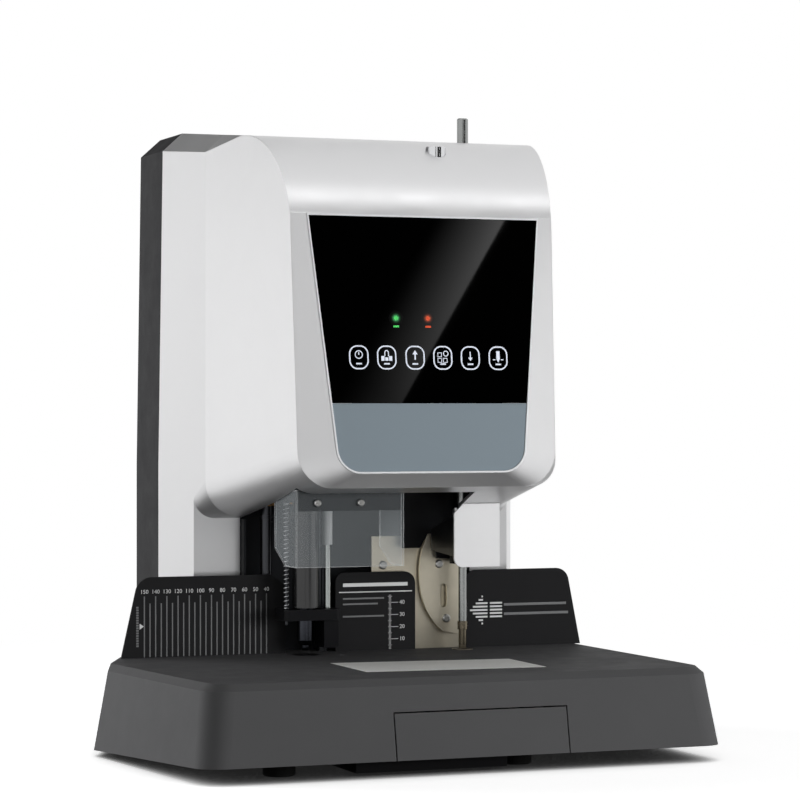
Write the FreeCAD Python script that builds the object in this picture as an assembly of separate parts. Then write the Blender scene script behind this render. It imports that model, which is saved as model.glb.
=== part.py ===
"""Document riveting machine: a hollow drill on the left and a hot rivet press on the right.

Millimetres. +Z up, +X to the right, +Y to the back. The parts are drawn about the centre plane
of the column, and main moves them all by ORIGIN_SHIFT, which puts the origin in the middle of
the footprint, on the surface that the feet stand on. Each sub-part is a solid, or a group of
solids, of its own and goes to parts/NAME.step.
"""
import FreeCAD
import Part
import math
import os

Vec = FreeCAD.Vector
ORIGIN_SHIFT = Vec(12.0, 2.0, 0.0)

# Heights
TABLE_Z = 74.0
SKIRT_FRONT_Z = 13.0
SKIRT_REAR_Z = 5.0
HOOD_REAR_Z = 187.0
HOOD_FRONT_Z = 216.0
TOP_Z = 510.0

# Column and hood in plan: half widths at the seam, at the shoulder and at the front
SEAM_Y = 115.0
SEAM_HALF = 161.0
SEAM_TOP_HALF = 157.0
TAPER_Z = 230.0
SHOULDER_Y = 66.0
SHOULDER_HALF = 135.0
FRONT_Y = -87.0
FRONT_HALF = 111.0
COLUMN_Y = 78.0
REAR_Y = 184.0
TOP_CHAMFER_X = 17.0
TOP_CHAMFER_Z = 15.5
SHELL = 3.0
PLAN_FRONT_Y = -130.0

# Front of the hood: it leans, with its foot forward
PANEL_TOP_Y = -84.0
PANEL_TOP_Z = 430.0
PANEL_FOOT_Y = -103.7
PANEL_FOOT_Z = 229.0
LEAN = math.degrees(math.atan2(PANEL_TOP_Y - PANEL_FOOT_Y, PANEL_TOP_Z - PANEL_FOOT_Z))
TOP_ANGLE = 5.5
TOP_SLOPE = math.tan(math.radians(TOP_ANGLE))
BROW_RADIUS = 82.0
BELLY_LEFT = 29.0
BELLY_RIGHT = 22.0
BELLY_REAR = 18.0

# Working axes and the plane that the paper is pushed against
DRILL_X = -55.0
RIVET_X = 86.0
WORK_Y = 44.0
GUIDE_Y = 62.0
GUIDE_T = 2.0
GUIDE_TOP_Z = 140.0

# Opening of the column under the hood, and the slanted mouth in the underside of the hood
MOUTH_LEFT = -101.0
MOUTH_RIGHT = 104.0
MOUTH_FRONT_RIGHT = 51.5
MOUTH_REAR_RIGHT = 89.5
MOUTH_FRONT_Y = -66.0

# Steel frame inside the column
FRAME_Y = 92.0
FRAME_T = 3.0
FRAME_LEFT = MOUTH_LEFT + 0.6
FRAME_RIGHT = MOUTH_RIGHT - 0.6
FLANGE_Y = 70.0
SHELF_Z = 400.0
FLOOR_Z = 16.0

# Drawer for the paper chips
DRAWER_LEFT = -62.5
DRAWER_RIGHT = 79.5
DRAWER_TOP = 48.0
DRAWER_BOTTOM = 13.0
DRAWER_GAP = 1.1


def box(x0, x1, y0, y1, z0, z1):
    """A box between two corners."""
    return Part.makeBox(x1 - x0, y1 - y0, z1 - z0, Vec(x0, y0, z0))


def rod(x, y, z0, z1, radius):
    """An upright cylinder."""
    return Part.makeCylinder(radius, z1 - z0, Vec(x, y, z0))


def rod_y(x, z, y0, y1, radius):
    """A cylinder along Y."""
    return Part.makeCylinder(radius, y1 - y0, Vec(x, y0, z), Vec(0, 1, 0))


def rod_x(y, z, x0, x1, radius):
    """A cylinder along X."""
    return Part.makeCylinder(radius, x1 - x0, Vec(x0, y, z), Vec(1, 0, 0))


def tube(x, y, z0, z1, outer, inner):
    """An upright tube, given by its radii."""
    return rod(x, y, z0, z1, outer).cut(rod(x, y, z0 - 1, z1 + 1, inner))


def face_of(points):
    """A flat face with straight sides through the points."""
    return Part.Face(Part.makePolygon(points + [points[0]]))


def prism_z(outline, z0, z1):
    """An upright prism over (x, y) points."""
    points = [Vec(x, y, z0) for x, y in outline]
    return face_of(points).extrude(Vec(0, 0, z1 - z0))


def prism_x(outline, x0, x1):
    """A prism along X over (y, z) points."""
    points = [Vec(x0, y, z) for y, z in outline]
    return face_of(points).extrude(Vec(x1 - x0, 0, 0))


def prism_y(outline, y0, y1):
    """A prism along Y over (x, z) points."""
    points = [Vec(x, y0, z) for x, z in outline]
    return face_of(points).extrude(Vec(0, y1 - y0, 0))


def fuse(shapes):
    """One solid from pieces that touch or overlap."""
    result = shapes[0]
    for shape in shapes[1:]:
        result = result.fuse(shape)
    return result.removeSplitter()


def cut(shape, tools):
    """The shape without the tools."""
    for tool in tools:
        shape = shape.cut(tool)
    return shape


def group(shapes):
    """Separate solids of the same kind, kept in one node."""
    return Part.makeCompound(shapes)


def mirrored(shape):
    """The shape on the other side of the centre plane."""
    return shape.mirror(Vec(0, 0, 0), Vec(1, 0, 0))


def edges_where(shape, test):
    """The edges whose bounding box passes the test."""
    return [edge for edge in shape.Edges if test(edge.BoundBox)]


def is_along_y(x, z, slack=0.1):
    """A test for a straight edge along Y at (x, z)."""
    def test(bounds):
        flat = bounds.XLength < slack and bounds.ZLength < slack
        return flat and abs(bounds.XMin - x) < slack and abs(bounds.ZMin - z) < slack
    return test


def rounded_at(shape, corners, radius):
    """Round the edges along Y that stand at the given (x, z) corners."""
    edges = []
    for x, z in corners:
        edges += edges_where(shape, is_along_y(x, z))
    return shape.makeFillet(radius, edges)


def pan_screw(x, y, z, axis, head=3.4, length=8.0, shank=1.9):
    """A pan head screw with a cross recess; its head stands up along the axis."""
    body = Part.makeCylinder(head, 2.2, Vec(0, 0, 0))
    body = body.makeFillet(1.2, edges_where(body, lambda b: b.ZMin > 2.1))
    body = body.fuse(Part.makeCylinder(shank, length, Vec(0, 0, -length)))
    slot = head * 0.62
    for size_x, size_y in ((slot, 0.45), (0.45, slot)):
        body = body.cut(box(-size_x, size_x, -size_y, size_y, 1.2, 3.0))
    body = body.removeSplitter()
    body.Placement = FreeCAD.Placement(Vec(x, y, z), FreeCAD.Rotation(Vec(0, 0, 1), Vec(*axis)))
    return body


# ---------------------------------------------------------------- base

BASE_TOP = ((209, -176), (204, 60), (163, 172), (-163, 172), (-231, 16), (-206, -176))
BASE_FOOT = ((218, -189.5), (212, 62), (166, 175), (-166, 175), (-241, 25), (-215, -189.5))
BASE_WALL = 3.0
CORNER_RADIUS = 22.0
BEVEL = 5.5


def base_loft(inset, z0, z1):
    """The splayed block of the base, drawn in from its outline by inset."""
    rings = []
    for z in (z0, z1):
        share = (z - SKIRT_REAR_Z) / (TABLE_Z - SKIRT_REAR_Z)
        ring = []
        for low, high in zip(BASE_FOOT, BASE_TOP):
            x = low[0] + (high[0] - low[0]) * share
            y = low[1] + (high[1] - low[1]) * share
            ring.append(Vec(x - math.copysign(inset, x), y - math.copysign(inset, y - 20), z))
        rings.append(Part.makePolygon(ring + [ring[0]]))
    return Part.makeLoft(rings, True, True)


def base_block(inset, z0, z1):
    """The block of the base with its two front corners rounded."""
    block = base_loft(inset, z0, z1)

    def is_front_corner(bounds):
        return bounds.ZLength > 60 and bounds.YMax < -150

    return block.makeFillet(CORNER_RADIUS - inset, edges_where(block, is_front_corner))


def bevelled(block, top, size):
    """The block with a bevel along the front edge of its top."""
    def is_front_rim(bounds):
        return bounds.ZMin > top - 0.1 and bounds.YMax < -100 and bounds.XLength > 200

    return block.makeChamfer(size, edges_where(block, is_front_rim))


def base_outside():
    """The outside of the base, cut off below along a line that rises to the front."""
    block = bevelled(base_block(0.0, SKIRT_REAR_Z, TABLE_Z), TABLE_Z, BEVEL)
    far = 400.0
    rise = (SKIRT_FRONT_Z - SKIRT_REAR_Z) / 212.0
    slope = ((-228, SKIRT_FRONT_Z + 40 * rise), (24, SKIRT_REAR_Z), (24, 0), (-228, 0))
    below = prism_x(slope, -far, far)
    return block.cut(below)


def base_inside():
    """The hollow of the base."""
    top = TABLE_Z - BASE_WALL
    return bevelled(base_block(BASE_WALL, SKIRT_REAR_Z - 1, top), top, BEVEL - 1.5)


def base_shell():
    """The hollow base with its holes for the drawer, the frame, the drill and the anvil."""
    shell = base_outside().cut(base_inside())
    tools = [
        box(DRAWER_LEFT - DRAWER_GAP, DRAWER_RIGHT + DRAWER_GAP, -200, -150, 0, DRAWER_TOP + DRAWER_GAP),
        box(FRAME_LEFT - 0.3, FRAME_RIGHT + 0.3, FRAME_Y - 0.3, FRAME_Y + FRAME_T + 0.3, 60, 80),
        box(FRAME_LEFT - 0.3, FRAME_LEFT + 2.3, FLANGE_Y - 0.3, FRAME_Y, 60, 80),
        box(FRAME_RIGHT - 2.3, FRAME_RIGHT + 0.3, FLANGE_Y - 0.3, FRAME_Y, 60, 80),
        rod(DRILL_X, WORK_Y, 60, 80, 12.0),
        rod(RIVET_X, WORK_Y, 60, 80, 9.0),
        rod(-27, 29, 60, 80, 3.0),
    ]
    return cut(shell, tools)


def drill_pad():
    """The plastic pad under the drill, with the hole that the chips fall through."""
    pad = fuse([rod(DRILL_X, WORK_Y, 66, TABLE_Z, 11.9), rod(DRILL_X, WORK_Y, 66, 70.9, 15.0)])
    return pad.cut(rod(DRILL_X, WORK_Y, 60, 80, 4.2))


def rivet_anvil():
    """The lower heated die, level with the table, with a dish for the rivet head."""
    anvil = fuse([rod(RIVET_X, WORK_Y, 58, TABLE_Z + 0.8, 8.9), rod(RIVET_X, WORK_Y, 58, 70.9, 14.0)])
    dish = Part.makeSphere(6.0, Vec(RIVET_X, WORK_Y, TABLE_Z + 5.2))
    return anvil.cut(dish)


def bottom_pan():
    """The black pan that closes the base and hangs below the skirt in the middle."""
    floor = base_inside().common(box(-300, 300, -300, 300, FLOOR_Z, FLOOR_Z + 2))
    well = box(-90, 34, -172, 70, 3.0, FLOOR_Z)
    pan = fuse([floor, well])
    notch = box(DRAWER_LEFT - DRAWER_GAP, DRAWER_RIGHT + DRAWER_GAP, -200, -176.5, FLOOR_Z - 1, FLOOR_Z + 3)
    hollow = box(-88, 32, -170, 68, 5.0, FLOOR_Z)
    return cut(pan, [notch, hollow, box(-52, 32, -130, 60, FLOOR_Z - 1, FLOOR_Z + 3)])


FEET = ((-140, -138), (57, -135), (-140, 132), (140, 132))


def rubber_feet():
    """Four turned rubber feet, one close under the rivet press, with a hole for the screw."""
    feet = []
    for x, y in FEET:
        foot = rod(x, y, 0, FLOOR_Z, 12.5)
        foot = foot.makeChamfer(1.2, edges_where(foot, lambda b: b.ZMax < 0.1))
        foot = cut(foot, [rod(x, y, -1, 6, 4.5), rod(x, y, -1, 20, 2.2)])
        feet.append(foot)
    return group(feet)


def drawer_front():
    """The sloping front of the chip drawer, flush with the front of the base."""
    slab = base_outside().common(box(-210, 210, -200, -150, 0, 60))
    front = slab.common(box(DRAWER_LEFT, DRAWER_RIGHT, -200, -150, DRAWER_BOTTOM, DRAWER_TOP))
    back = prism_x(((-183.9, 10), (-178.2, 50), (-140, 50), (-140, 10)), -210, 210)
    return front.cut(back)


def chip_drawer():
    """The open tray of the chip drawer, which reaches back to the drill."""
    tray = box(DRAWER_LEFT + 2, DRAWER_RIGHT - 2, -177.6, WORK_Y + 16, 19.1, DRAWER_TOP - 4)
    hollow = box(DRAWER_LEFT + 4, DRAWER_RIGHT - 4, -175.6, WORK_Y + 14, 21.0, DRAWER_TOP)
    lug = box(-30, 47, -182.4, -177.4, 24, 40)
    front_face = prism_x(((-183.9, 10), (-178.2, 50), (-200, 50), (-200, 10)), -210, 210)
    return fuse([tray.cut(hollow), lug.cut(front_face)])


def drawer_runners():
    """Two angle rails that carry the drawer."""
    rails = []
    for side, x in ((-1, DRAWER_LEFT), (1, DRAWER_RIGHT)):
        foot = box(min(x, x - side * 6), max(x, x - side * 6), -140, WORK_Y + 20, FLOOR_Z + 2, 18.8)
        wall = box(min(x, x + side * 1.5), max(x, x + side * 1.5), -140, WORK_Y + 20, FLOOR_Z + 2, 36)
        rails.append(fuse([foot, wall]))
    return group(rails)


# ---------------------------------------------------------------- hood and column

CREASE_TOP_Y = -81.7
CREASE_SLOPE = 0.0663
BROW_TURN = math.radians(90 - TOP_ANGLE) - math.atan(CREASE_SLOPE)


def crease_y(z):
    """Depth of the side edge of the hood's front at a height."""
    return CREASE_TOP_Y - (PANEL_TOP_Z - z) * CREASE_SLOPE


def panel_y(z):
    """Depth of the leaning panel face at a height."""
    return PANEL_TOP_Y - (PANEL_TOP_Z - z) * math.tan(math.radians(LEAN))


def half_width(y):
    """Half width of the hood at a depth in front of the shoulder."""
    slope = (SHOULDER_HALF - FRONT_HALF) / (SHOULDER_Y - FRONT_Y)
    return FRONT_HALF + (y - FRONT_Y) * slope


def column_half(y):
    """Half width of the column at a depth between the shoulder and the seam."""
    slope = (SEAM_HALF - SHOULDER_HALF) / (SEAM_Y - SHOULDER_Y)
    return SHOULDER_HALF + (y - SHOULDER_Y) * slope


def seam_half(z):
    """Half width of the column at the seam, which tapers from above the legs to the top."""
    share = max(0.0, (z - TAPER_Z) / (TOP_Z - TAPER_Z))
    return SEAM_HALF - (SEAM_HALF - SEAM_TOP_HALF) * share


def underside_z(y):
    """Height of the hood's underside at a depth in front of the column."""
    slope = (HOOD_FRONT_Z - HOOD_REAR_Z) / (COLUMN_Y - crease_y(HOOD_FRONT_Z))
    return HOOD_REAR_Z + (COLUMN_Y - y) * slope


def brow_corner(inset):
    """Where the front line and the top line of the side view would meet."""
    top_at_zero = TOP_Z - SEAM_Y * TOP_SLOPE - inset
    front_at_zero = CREASE_TOP_Y + inset - PANEL_TOP_Z * CREASE_SLOPE
    z = (top_at_zero + front_at_zero * TOP_SLOPE) / (1 - CREASE_SLOPE * TOP_SLOPE)
    return front_at_zero + z * CREASE_SLOPE, z


def side_view(inset):
    """The hood's outline from the side: front line, round brow, sloping top, underside."""
    y, z = brow_corner(inset)
    reach = (BROW_RADIUS - inset) * math.tan(BROW_TURN / 2)
    up = math.atan(CREASE_SLOPE)
    back = math.atan(TOP_SLOPE)
    start = Vec(0, y - reach * math.sin(up), z - reach * math.cos(up))
    end = Vec(0, y + reach * math.cos(back), z + reach * math.sin(back))
    drop = (BROW_RADIUS - inset) * (1 / math.cos(BROW_TURN / 2) - 1)
    angle = (back - (math.pi / 2 - up)) / 2
    middle = Vec(0, y + drop * math.cos(angle), z + drop * math.sin(angle))
    foot = Vec(0, crease_y(HOOD_FRONT_Z + inset) + inset, HOOD_FRONT_Z + inset)
    rear_low = Vec(0, SEAM_Y, HOOD_REAR_Z + inset)
    column_low = Vec(0, COLUMN_Y, HOOD_REAR_Z + inset)
    rear_top = Vec(0, SEAM_Y, TOP_Z - inset)
    lines = [
        Part.makeLine(foot, start),
        Part.Arc(start, middle, end).toShape(),
        Part.makeLine(end, rear_top),
        Part.makeLine(rear_top, rear_low),
        Part.makeLine(rear_low, column_low),
        Part.makeLine(column_low, foot),
    ]
    return Part.Face(Part.Wire(lines))


def plan_view(inset, front_y, z):
    """The hood's outline from above at a height, from the seam to the front."""
    half = half_width(front_y) - inset
    right = [(seam_half(z) - inset, SEAM_Y), (SHOULDER_HALF - inset, SHOULDER_Y), (half, front_y)]
    return right + [(-x, y) for x, y in reversed(right)]


def plan_block(inset):
    """The hood seen from above as a block, upright at the legs and tapering over them."""
    rings = []
    for z in (TAPER_Z, TOP_Z + 10):
        ring = [Vec(x, y, z) for x, y in plan_view(inset, PLAN_FRONT_Y, z)]
        rings.append(Part.makePolygon(ring + ring[:1]))
    foot = prism_z(plan_view(inset, PLAN_FRONT_Y, TAPER_Z), HOOD_REAR_Z - 10, TAPER_Z)
    return fuse([foot, Part.makeLoft(rings, True, True)])


def belly_ring(side, radius, y, inset):
    """The outline at a depth of what the rounding of a lower side edge takes away."""
    half = (half_width(y) if y < SHOULDER_Y else column_half(y)) - inset
    floor = underside_z(y) + inset
    bend = radius - inset
    away = bend * (1 - math.sqrt(0.5))
    start = Vec(side * half, y, floor + bend)
    middle = Vec(side * (half - away), y, floor + away)
    end = Vec(side * (half - bend), y, floor)
    slack = 6.0
    outside = [
        Vec(side * (half - bend), y, floor - slack),
        Vec(side * (half + slack), y, floor - slack),
        Vec(side * (half + slack), y, floor + bend),
    ]
    lines = [Part.Arc(start, middle, end).toShape()]
    for low, high in zip([end] + outside, outside + [start]):
        lines.append(Part.makeLine(low, high))
    return Part.Wire(lines)


def belly_cut(side, radius, inset):
    """What the rounding of a lower side edge takes away, from the front to the leg."""
    rear = BELLY_REAR * radius / BELLY_LEFT
    stations = ((PLAN_FRONT_Y, radius), (SHOULDER_Y, radius), (COLUMN_Y + inset, rear))
    rings = [belly_ring(side, bend, y, inset) for y, bend in stations]
    return fuse([Part.makeLoft(list(pair), True, True) for pair in zip(rings, rings[1:])])


def hood_form(inset):
    """The hood as a solid, drawn in by inset: side view and plan view together."""
    wide = SEAM_HALF + 10
    bulk = side_view(inset)
    bulk.translate(Vec(-wide, 0, 0))
    bulk = bulk.extrude(Vec(2 * wide, 0, 0))
    bulk = bulk.common(plan_block(inset))
    tools = [belly_cut(-1, BELLY_LEFT, inset), belly_cut(1, BELLY_RIGHT, inset)]
    return cut(bulk, tools + [top_corner(inset), mirrored(top_corner(inset))])


CHAMFER_SHOULDER_Z = 490.4
CHAMFER_END_Y = 0.0


def chamfer_section(x, y, z, inset):
    """The outline at a depth of what the cut along a top edge takes away above its low edge."""
    length = math.hypot(TOP_CHAMFER_X, TOP_CHAMFER_Z)
    along = Vec(-TOP_CHAMFER_X, 0, TOP_CHAMFER_Z) * (1 / length)
    away = Vec(TOP_CHAMFER_Z, 0, TOP_CHAMFER_X) * (1 / length)
    foot = Vec(x, y, z) - away * inset - along * 12
    head = foot + along * 50
    ring = [foot, head, head + away * 30, foot + away * 30]
    return Part.makePolygon(ring + ring[:1])


def top_corner(inset):
    """The cut along the right top edge: even beside the column, running out over the hood."""
    seam = Vec(seam_half(TOP_Z - TOP_CHAMFER_Z), SEAM_Y, TOP_Z - TOP_CHAMFER_Z)
    shoulder = Vec(SHOULDER_HALF, SHOULDER_Y, CHAMFER_SHOULDER_Z)
    behind = seam + (seam - shoulder) * 0.1
    end_z = TOP_Z - (SEAM_Y - CHAMFER_END_Y) * TOP_SLOPE
    end = Vec(half_width(CHAMFER_END_Y), CHAMFER_END_Y, end_z)
    rings = [chamfer_section(*spot, inset) for spot in (behind, shoulder, end)]
    return fuse([Part.makeLoft(list(pair), True, True) for pair in zip(rings, rings[1:])])


def outline_wire(half_low, half_high, low, high, radius, depth):
    """A wire on a leaning plane: sloping sides and two round lower corners."""
    slope = (half_high - half_low) / (high - low)
    side = math.atan(slope)
    turn = (math.pi / 2 + side) / 2
    reach = radius * math.tan(math.pi / 2 - turn)
    away = radius / math.sin(turn) - radius
    corner = (half_low, low)
    on_side = (corner[0] + reach * math.sin(side), corner[1] + reach * math.cos(side))
    on_foot = (corner[0] - reach, corner[1])
    across = math.pi - turn
    middle = (corner[0] + away * math.cos(across), corner[1] + away * math.sin(across))

    def at(point, flip=1):
        return Vec(point[0] * flip, depth(point[1]), point[1])

    top = (half_high, high)
    lines = [
        Part.makeLine(at(top, -1), at(top)),
        Part.makeLine(at(top), at(on_side)),
        Part.Arc(at(on_side), at(middle), at(on_foot)).toShape(),
        Part.makeLine(at(on_foot), at(on_foot, -1)),
        Part.Arc(at(on_foot, -1), at(middle, -1), at(on_side, -1)).toShape(),
        Part.makeLine(at(on_side, -1), at(top, -1)),
    ]
    return Part.Wire(lines)


PANEL_HALF_LOW = 77.5
PANEL_HALF_HIGH = 97.5
PANEL_RADIUS = 19.0
PANEL_DEPTH = 2.0
BAND_Z = 282.6
RIM = 1.6
PLATEAU_TOP_Z = 432.0


def panel_wire(grow, forward):
    """The panel's outline, grown sideways and moved forward."""
    def depth(z):
        return panel_y(z) - forward

    foot = PANEL_FOOT_Z - grow
    head = PANEL_TOP_Z + grow
    low = PANEL_HALF_LOW + grow
    high = PANEL_HALF_HIGH + grow
    return outline_wire(low, high, foot, head, PANEL_RADIUS + grow, depth)


def panel_block(grow, back, front):
    """A slab with the panel's outline, from a depth behind its face to one before it."""
    rings = [panel_wire(grow, -back), panel_wire(grow, front)]
    return Part.makeLoft(rings, True, True)


def plateau():
    """The raised surround that runs from the side edges of the hood to the panel."""
    low = half_width(crease_y(HOOD_FRONT_Z)) - 0.2
    high = half_width(crease_y(PLATEAU_TOP_Z)) - 0.2

    def ring(forward):
        def depth(height):
            return crease_y(height) - forward

        return outline_wire(low, high, HOOD_FRONT_Z + 0.1, PLATEAU_TOP_Z, BELLY_LEFT, depth)

    return Part.makeLoft([ring(-1.0), ring(-0.05), panel_wire(RIM, 0.0)], True, True)


def mouth(z0, z1):
    """The opening in the underside of the hood and between the legs of the column."""
    outline = (
        (MOUTH_LEFT, MOUTH_FRONT_Y),
        (MOUTH_FRONT_RIGHT, MOUTH_FRONT_Y),
        (MOUTH_REAR_RIGHT, COLUMN_Y),
        (MOUTH_RIGHT, COLUMN_Y),
        (MOUTH_RIGHT, SEAM_Y + 5),
        (MOUTH_LEFT, SEAM_Y + 5),
    )
    return prism_z(outline, z0, z1)


TUBE_X = 27.0
TUBE_Y = -42.0


def front_shell():
    """The silver hood and the two legs of the column in one moulding."""
    half = column_half(COLUMN_Y)
    plan = ((SEAM_HALF, SEAM_Y), (half, COLUMN_Y), (-half, COLUMN_Y), (-SEAM_HALF, SEAM_Y))
    legs = prism_z(plan, TABLE_Z, TAPER_Z)
    inner_seam = SEAM_HALF - SHELL
    inner_half = half - SHELL
    inner_right = [(inner_seam, SEAM_Y + 1), (inner_half, COLUMN_Y + SHELL)]
    inner_plan = inner_right + [(-x, y) for x, y in reversed(inner_right)]
    inner_legs = prism_z(inner_plan, TABLE_Z - 1, TAPER_Z + 2)
    solid = fuse([hood_form(0.0), legs, plateau()])
    hollow = hood_form(SHELL)
    tools = [
        hollow,
        inner_legs,
        mouth(TABLE_Z - 1, 222),
        panel_block(RIM, PANEL_DEPTH, 5.0),
        panel_block(-14, 20.0, 0.0),
        rod(TUBE_X, TUBE_Y, 440, 540, 8.1),
        rod(RIVET_X, WORK_Y, 480, 540, 8.1),
        rod(RIVET_X, WORK_Y, 180, 222, 12.5),
    ]
    return cut(solid, tools)


def rear_cover():
    """The dark cover behind the column, with vents, open to the front and at the foot."""
    right = [
        (SEAM_HALF, TABLE_Z),
        (SEAM_HALF, TAPER_Z),
        (seam_half(TOP_Z - TOP_CHAMFER_Z), TOP_Z - TOP_CHAMFER_Z),
        (SEAM_TOP_HALF - TOP_CHAMFER_X, TOP_Z),
    ]
    shape = right + [(-x, z) for x, z in reversed(right)]
    inner = [(x - math.copysign(SHELL, x), z - (SHELL if z > TABLE_Z else 0)) for x, z in shape]
    cover = prism_y(shape, SEAM_Y + 0.2, REAR_Y)
    rear_edges = edges_where(cover, lambda b: b.YMin > REAR_Y - 0.1 and b.ZMax > TABLE_Z + 1)
    cover = cover.makeChamfer(2.5, rear_edges).cut(prism_y(inner, SEAM_Y - 1, REAR_Y - SHELL))
    slots = []
    for row in range(8):
        z = 330 + row * 14
        for x0 in (-110, 20):
            slots.append(box(x0, x0 + 90, REAR_Y - 10, REAR_Y + 1, z, z + 5))
    slots.append(box(-125, -92, REAR_Y - 10, REAR_Y + 1, 96, 124))
    slots.append(box(-80, -58, REAR_Y - 10, REAR_Y + 1, 96, 124))
    slots.append(rod_y(-38, 110, REAR_Y - 10, REAR_Y + 1, 7.0))
    return cut(cover, slots)


COVER_SCREWS = ((-150, 100), (150, 100), (-150, 290), (150, 290), (-150, 470), (150, 470))


def column_frame():
    """The folded steel frame that stands on the pan inside the column."""
    back = box(FRAME_LEFT, FRAME_RIGHT, FRAME_Y, FRAME_Y + FRAME_T, FLOOR_Z + 2, 480)
    flanges = [
        box(FRAME_LEFT, FRAME_LEFT + 2, FLANGE_Y, FRAME_Y, 26, 186),
        box(FRAME_RIGHT - 2, FRAME_RIGHT, FLANGE_Y, FRAME_Y, 26, 186),
    ]
    foot = box(FRAME_LEFT, FRAME_RIGHT, FRAME_Y, FRAME_Y + 25, FLOOR_Z + 2, FLOOR_Z + 5)
    return fuse([back, foot] + flanges)


def motor_shelf():
    """The steel shelf at the top of the frame that carries both feed motors."""
    shelf = box(-99, 112, 30, FRAME_Y, SHELF_Z, SHELF_Z + 4)
    ribs = [box(x, x + 3, 60, FRAME_Y, SHELF_Z + 4, SHELF_Z + 50) for x in (-99, 109)]
    holes = [rod(DRILL_X, SCREW_Y, 390, 420, 5.0), rod(RIVET_X, SCREW_Y, 390, 420, 5.0)]
    holes.append(rod(RIVET_X, WORK_Y, 390, 420, 5.4))
    return cut(fuse([shelf] + ribs), holes)


SCREW_Y = 72.0
DRILL_ROD_X = (-80.0, -30.0)
DRILL_ROD_RADIUS = 5.0
CARRIAGE_Z = 201.0
CARRIAGE_TOP = 226.0


def drill_guide_rods():
    """The two dark rods that the drill carriage slides on."""
    return group([rod(x, SCREW_Y, TABLE_Z, SHELF_Z, DRILL_ROD_RADIUS) for x in DRILL_ROD_X])


def feed_motor_at(x):
    """A square stepping motor on the shelf, its shaft through the shelf."""
    body = box(x - 21, x + 21, SCREW_Y - 21, SCREW_Y + 19.8, SHELF_Z + 4, SHELF_Z + 42)
    corners = edges_where(body, lambda b: b.ZLength > 30)
    return body.makeChamfer(3.0, corners).cut(rod(x, SCREW_Y, SHELF_Z, SHELF_Z + 30, 4.3))


def feed_motors():
    """The two motors that lift the drill carriage and the rivet crosshead."""
    return group([feed_motor_at(DRILL_X), feed_motor_at(RIVET_X)])


def feed_screw_at(x, foot):
    """A lead screw with a plain journal that runs up into its motor."""
    thread = rod(x, SCREW_Y, foot, SHELF_Z - 1, 4.0)
    journal = rod(x, SCREW_Y, SHELF_Z - 1, SHELF_Z + 28, 3.2)
    return fuse([thread, journal])


def drill_feed_screw():
    """The lead screw behind the spindle."""
    return feed_screw_at(DRILL_X, 190.0)


def rivet_feed_screw():
    """The lead screw behind the rivet ram."""
    return feed_screw_at(RIVET_X, 233.0)


# ---------------------------------------------------------------- drill carriage

QUILL_RADIUS = 11.0
FOOT_ROD_X = -36.0
SPRING_X = -71.7
MOTOR_X = 4.0
MOTOR_Y = 42.0
MOTOR_RADIUS = 25.0
PULLEY_Z = 286.0
PULLEY_TOP = 298.0
SPINDLE_GROOVE = 12.0
MOTOR_GROOVE = 10.0
BELT_GAP = 0.3
BELT_T = 1.6


def carriage_block():
    """The block that carries the quill, the drill motor and the press foot's rods."""
    block = box(-97, -13, 30, 84, CARRIAGE_Z, CARRIAGE_TOP)
    block = block.makeFillet(4.0, edges_where(block, lambda b: b.ZLength > 20))
    arm = box(-14, 31, 17, 68, 218, CARRIAGE_TOP)
    body = fuse([block, arm])
    tools = [rod(x, SCREW_Y, 190, 240, 7.5) for x in DRILL_ROD_X]
    tools.append(rod(DRILL_X, SCREW_Y, 190, 240, 6.0))
    tools.append(rod(DRILL_X, WORK_Y, 190, 240, QUILL_RADIUS))
    tools.append(rod(FOOT_ROD_X, WORK_Y, 190, 240, 4.5))
    tools.append(rod(SPRING_X, WORK_Y, 190, 240, 1.9))
    tools.append(rod(MOTOR_X, MOTOR_Y, 210, 240, 9.0))
    return cut(body, tools)


def carriage_bushes():
    """The bronze bushes on the guide rods, and the nut that the lead screw drives."""
    bore = DRILL_ROD_RADIUS + 0.05
    bushes = [tube(x, SCREW_Y, CARRIAGE_Z - 4, CARRIAGE_TOP + 8, 7.5, bore) for x in DRILL_ROD_X]
    nut = tube(DRILL_X, SCREW_Y, CARRIAGE_Z - 3, CARRIAGE_TOP + 3, 6.0, 4.3)
    return group(bushes + [nut])


def quill():
    """The black tube that holds the spindle bearings."""
    collar = rod(DRILL_X, WORK_Y, CARRIAGE_TOP, CARRIAGE_TOP + 6, QUILL_RADIUS + 2.5)
    body = fuse([rod(DRILL_X, WORK_Y, 113, 284, QUILL_RADIUS), collar])
    return body.cut(rod(DRILL_X, WORK_Y, 100, 290, 8.0))


def spindle_bearings():
    """The two ball bearings in the quill."""
    return group([tube(DRILL_X, WORK_Y, z, z + 9, 8.0, 5.05) for z in (115, 273)])


def drill_spindle():
    """The hollow spindle shaft with the chuck nose at its lower end."""
    shaft = rod(DRILL_X, WORK_Y, 100, 304, 5.0)
    nose = rod(DRILL_X, WORK_Y, 86, 112.6, 7.0)
    tip = Part.makeCone(5.0, 7.0, 4, Vec(DRILL_X, WORK_Y, 82))
    return fuse([shaft, nose, tip]).cut(rod(DRILL_X, WORK_Y, 70, 310, 3.5))


def drill_bit():
    """The hollow bit, sharpened at its lower rim."""
    bit = fuse([rod(DRILL_X, WORK_Y, 80, 110, 3.5), Part.makeCone(2.6, 3.5, 2.5, Vec(DRILL_X, WORK_Y, 77.5))])
    return bit.cut(rod(DRILL_X, WORK_Y, 70, 120, 2.5))


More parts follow.
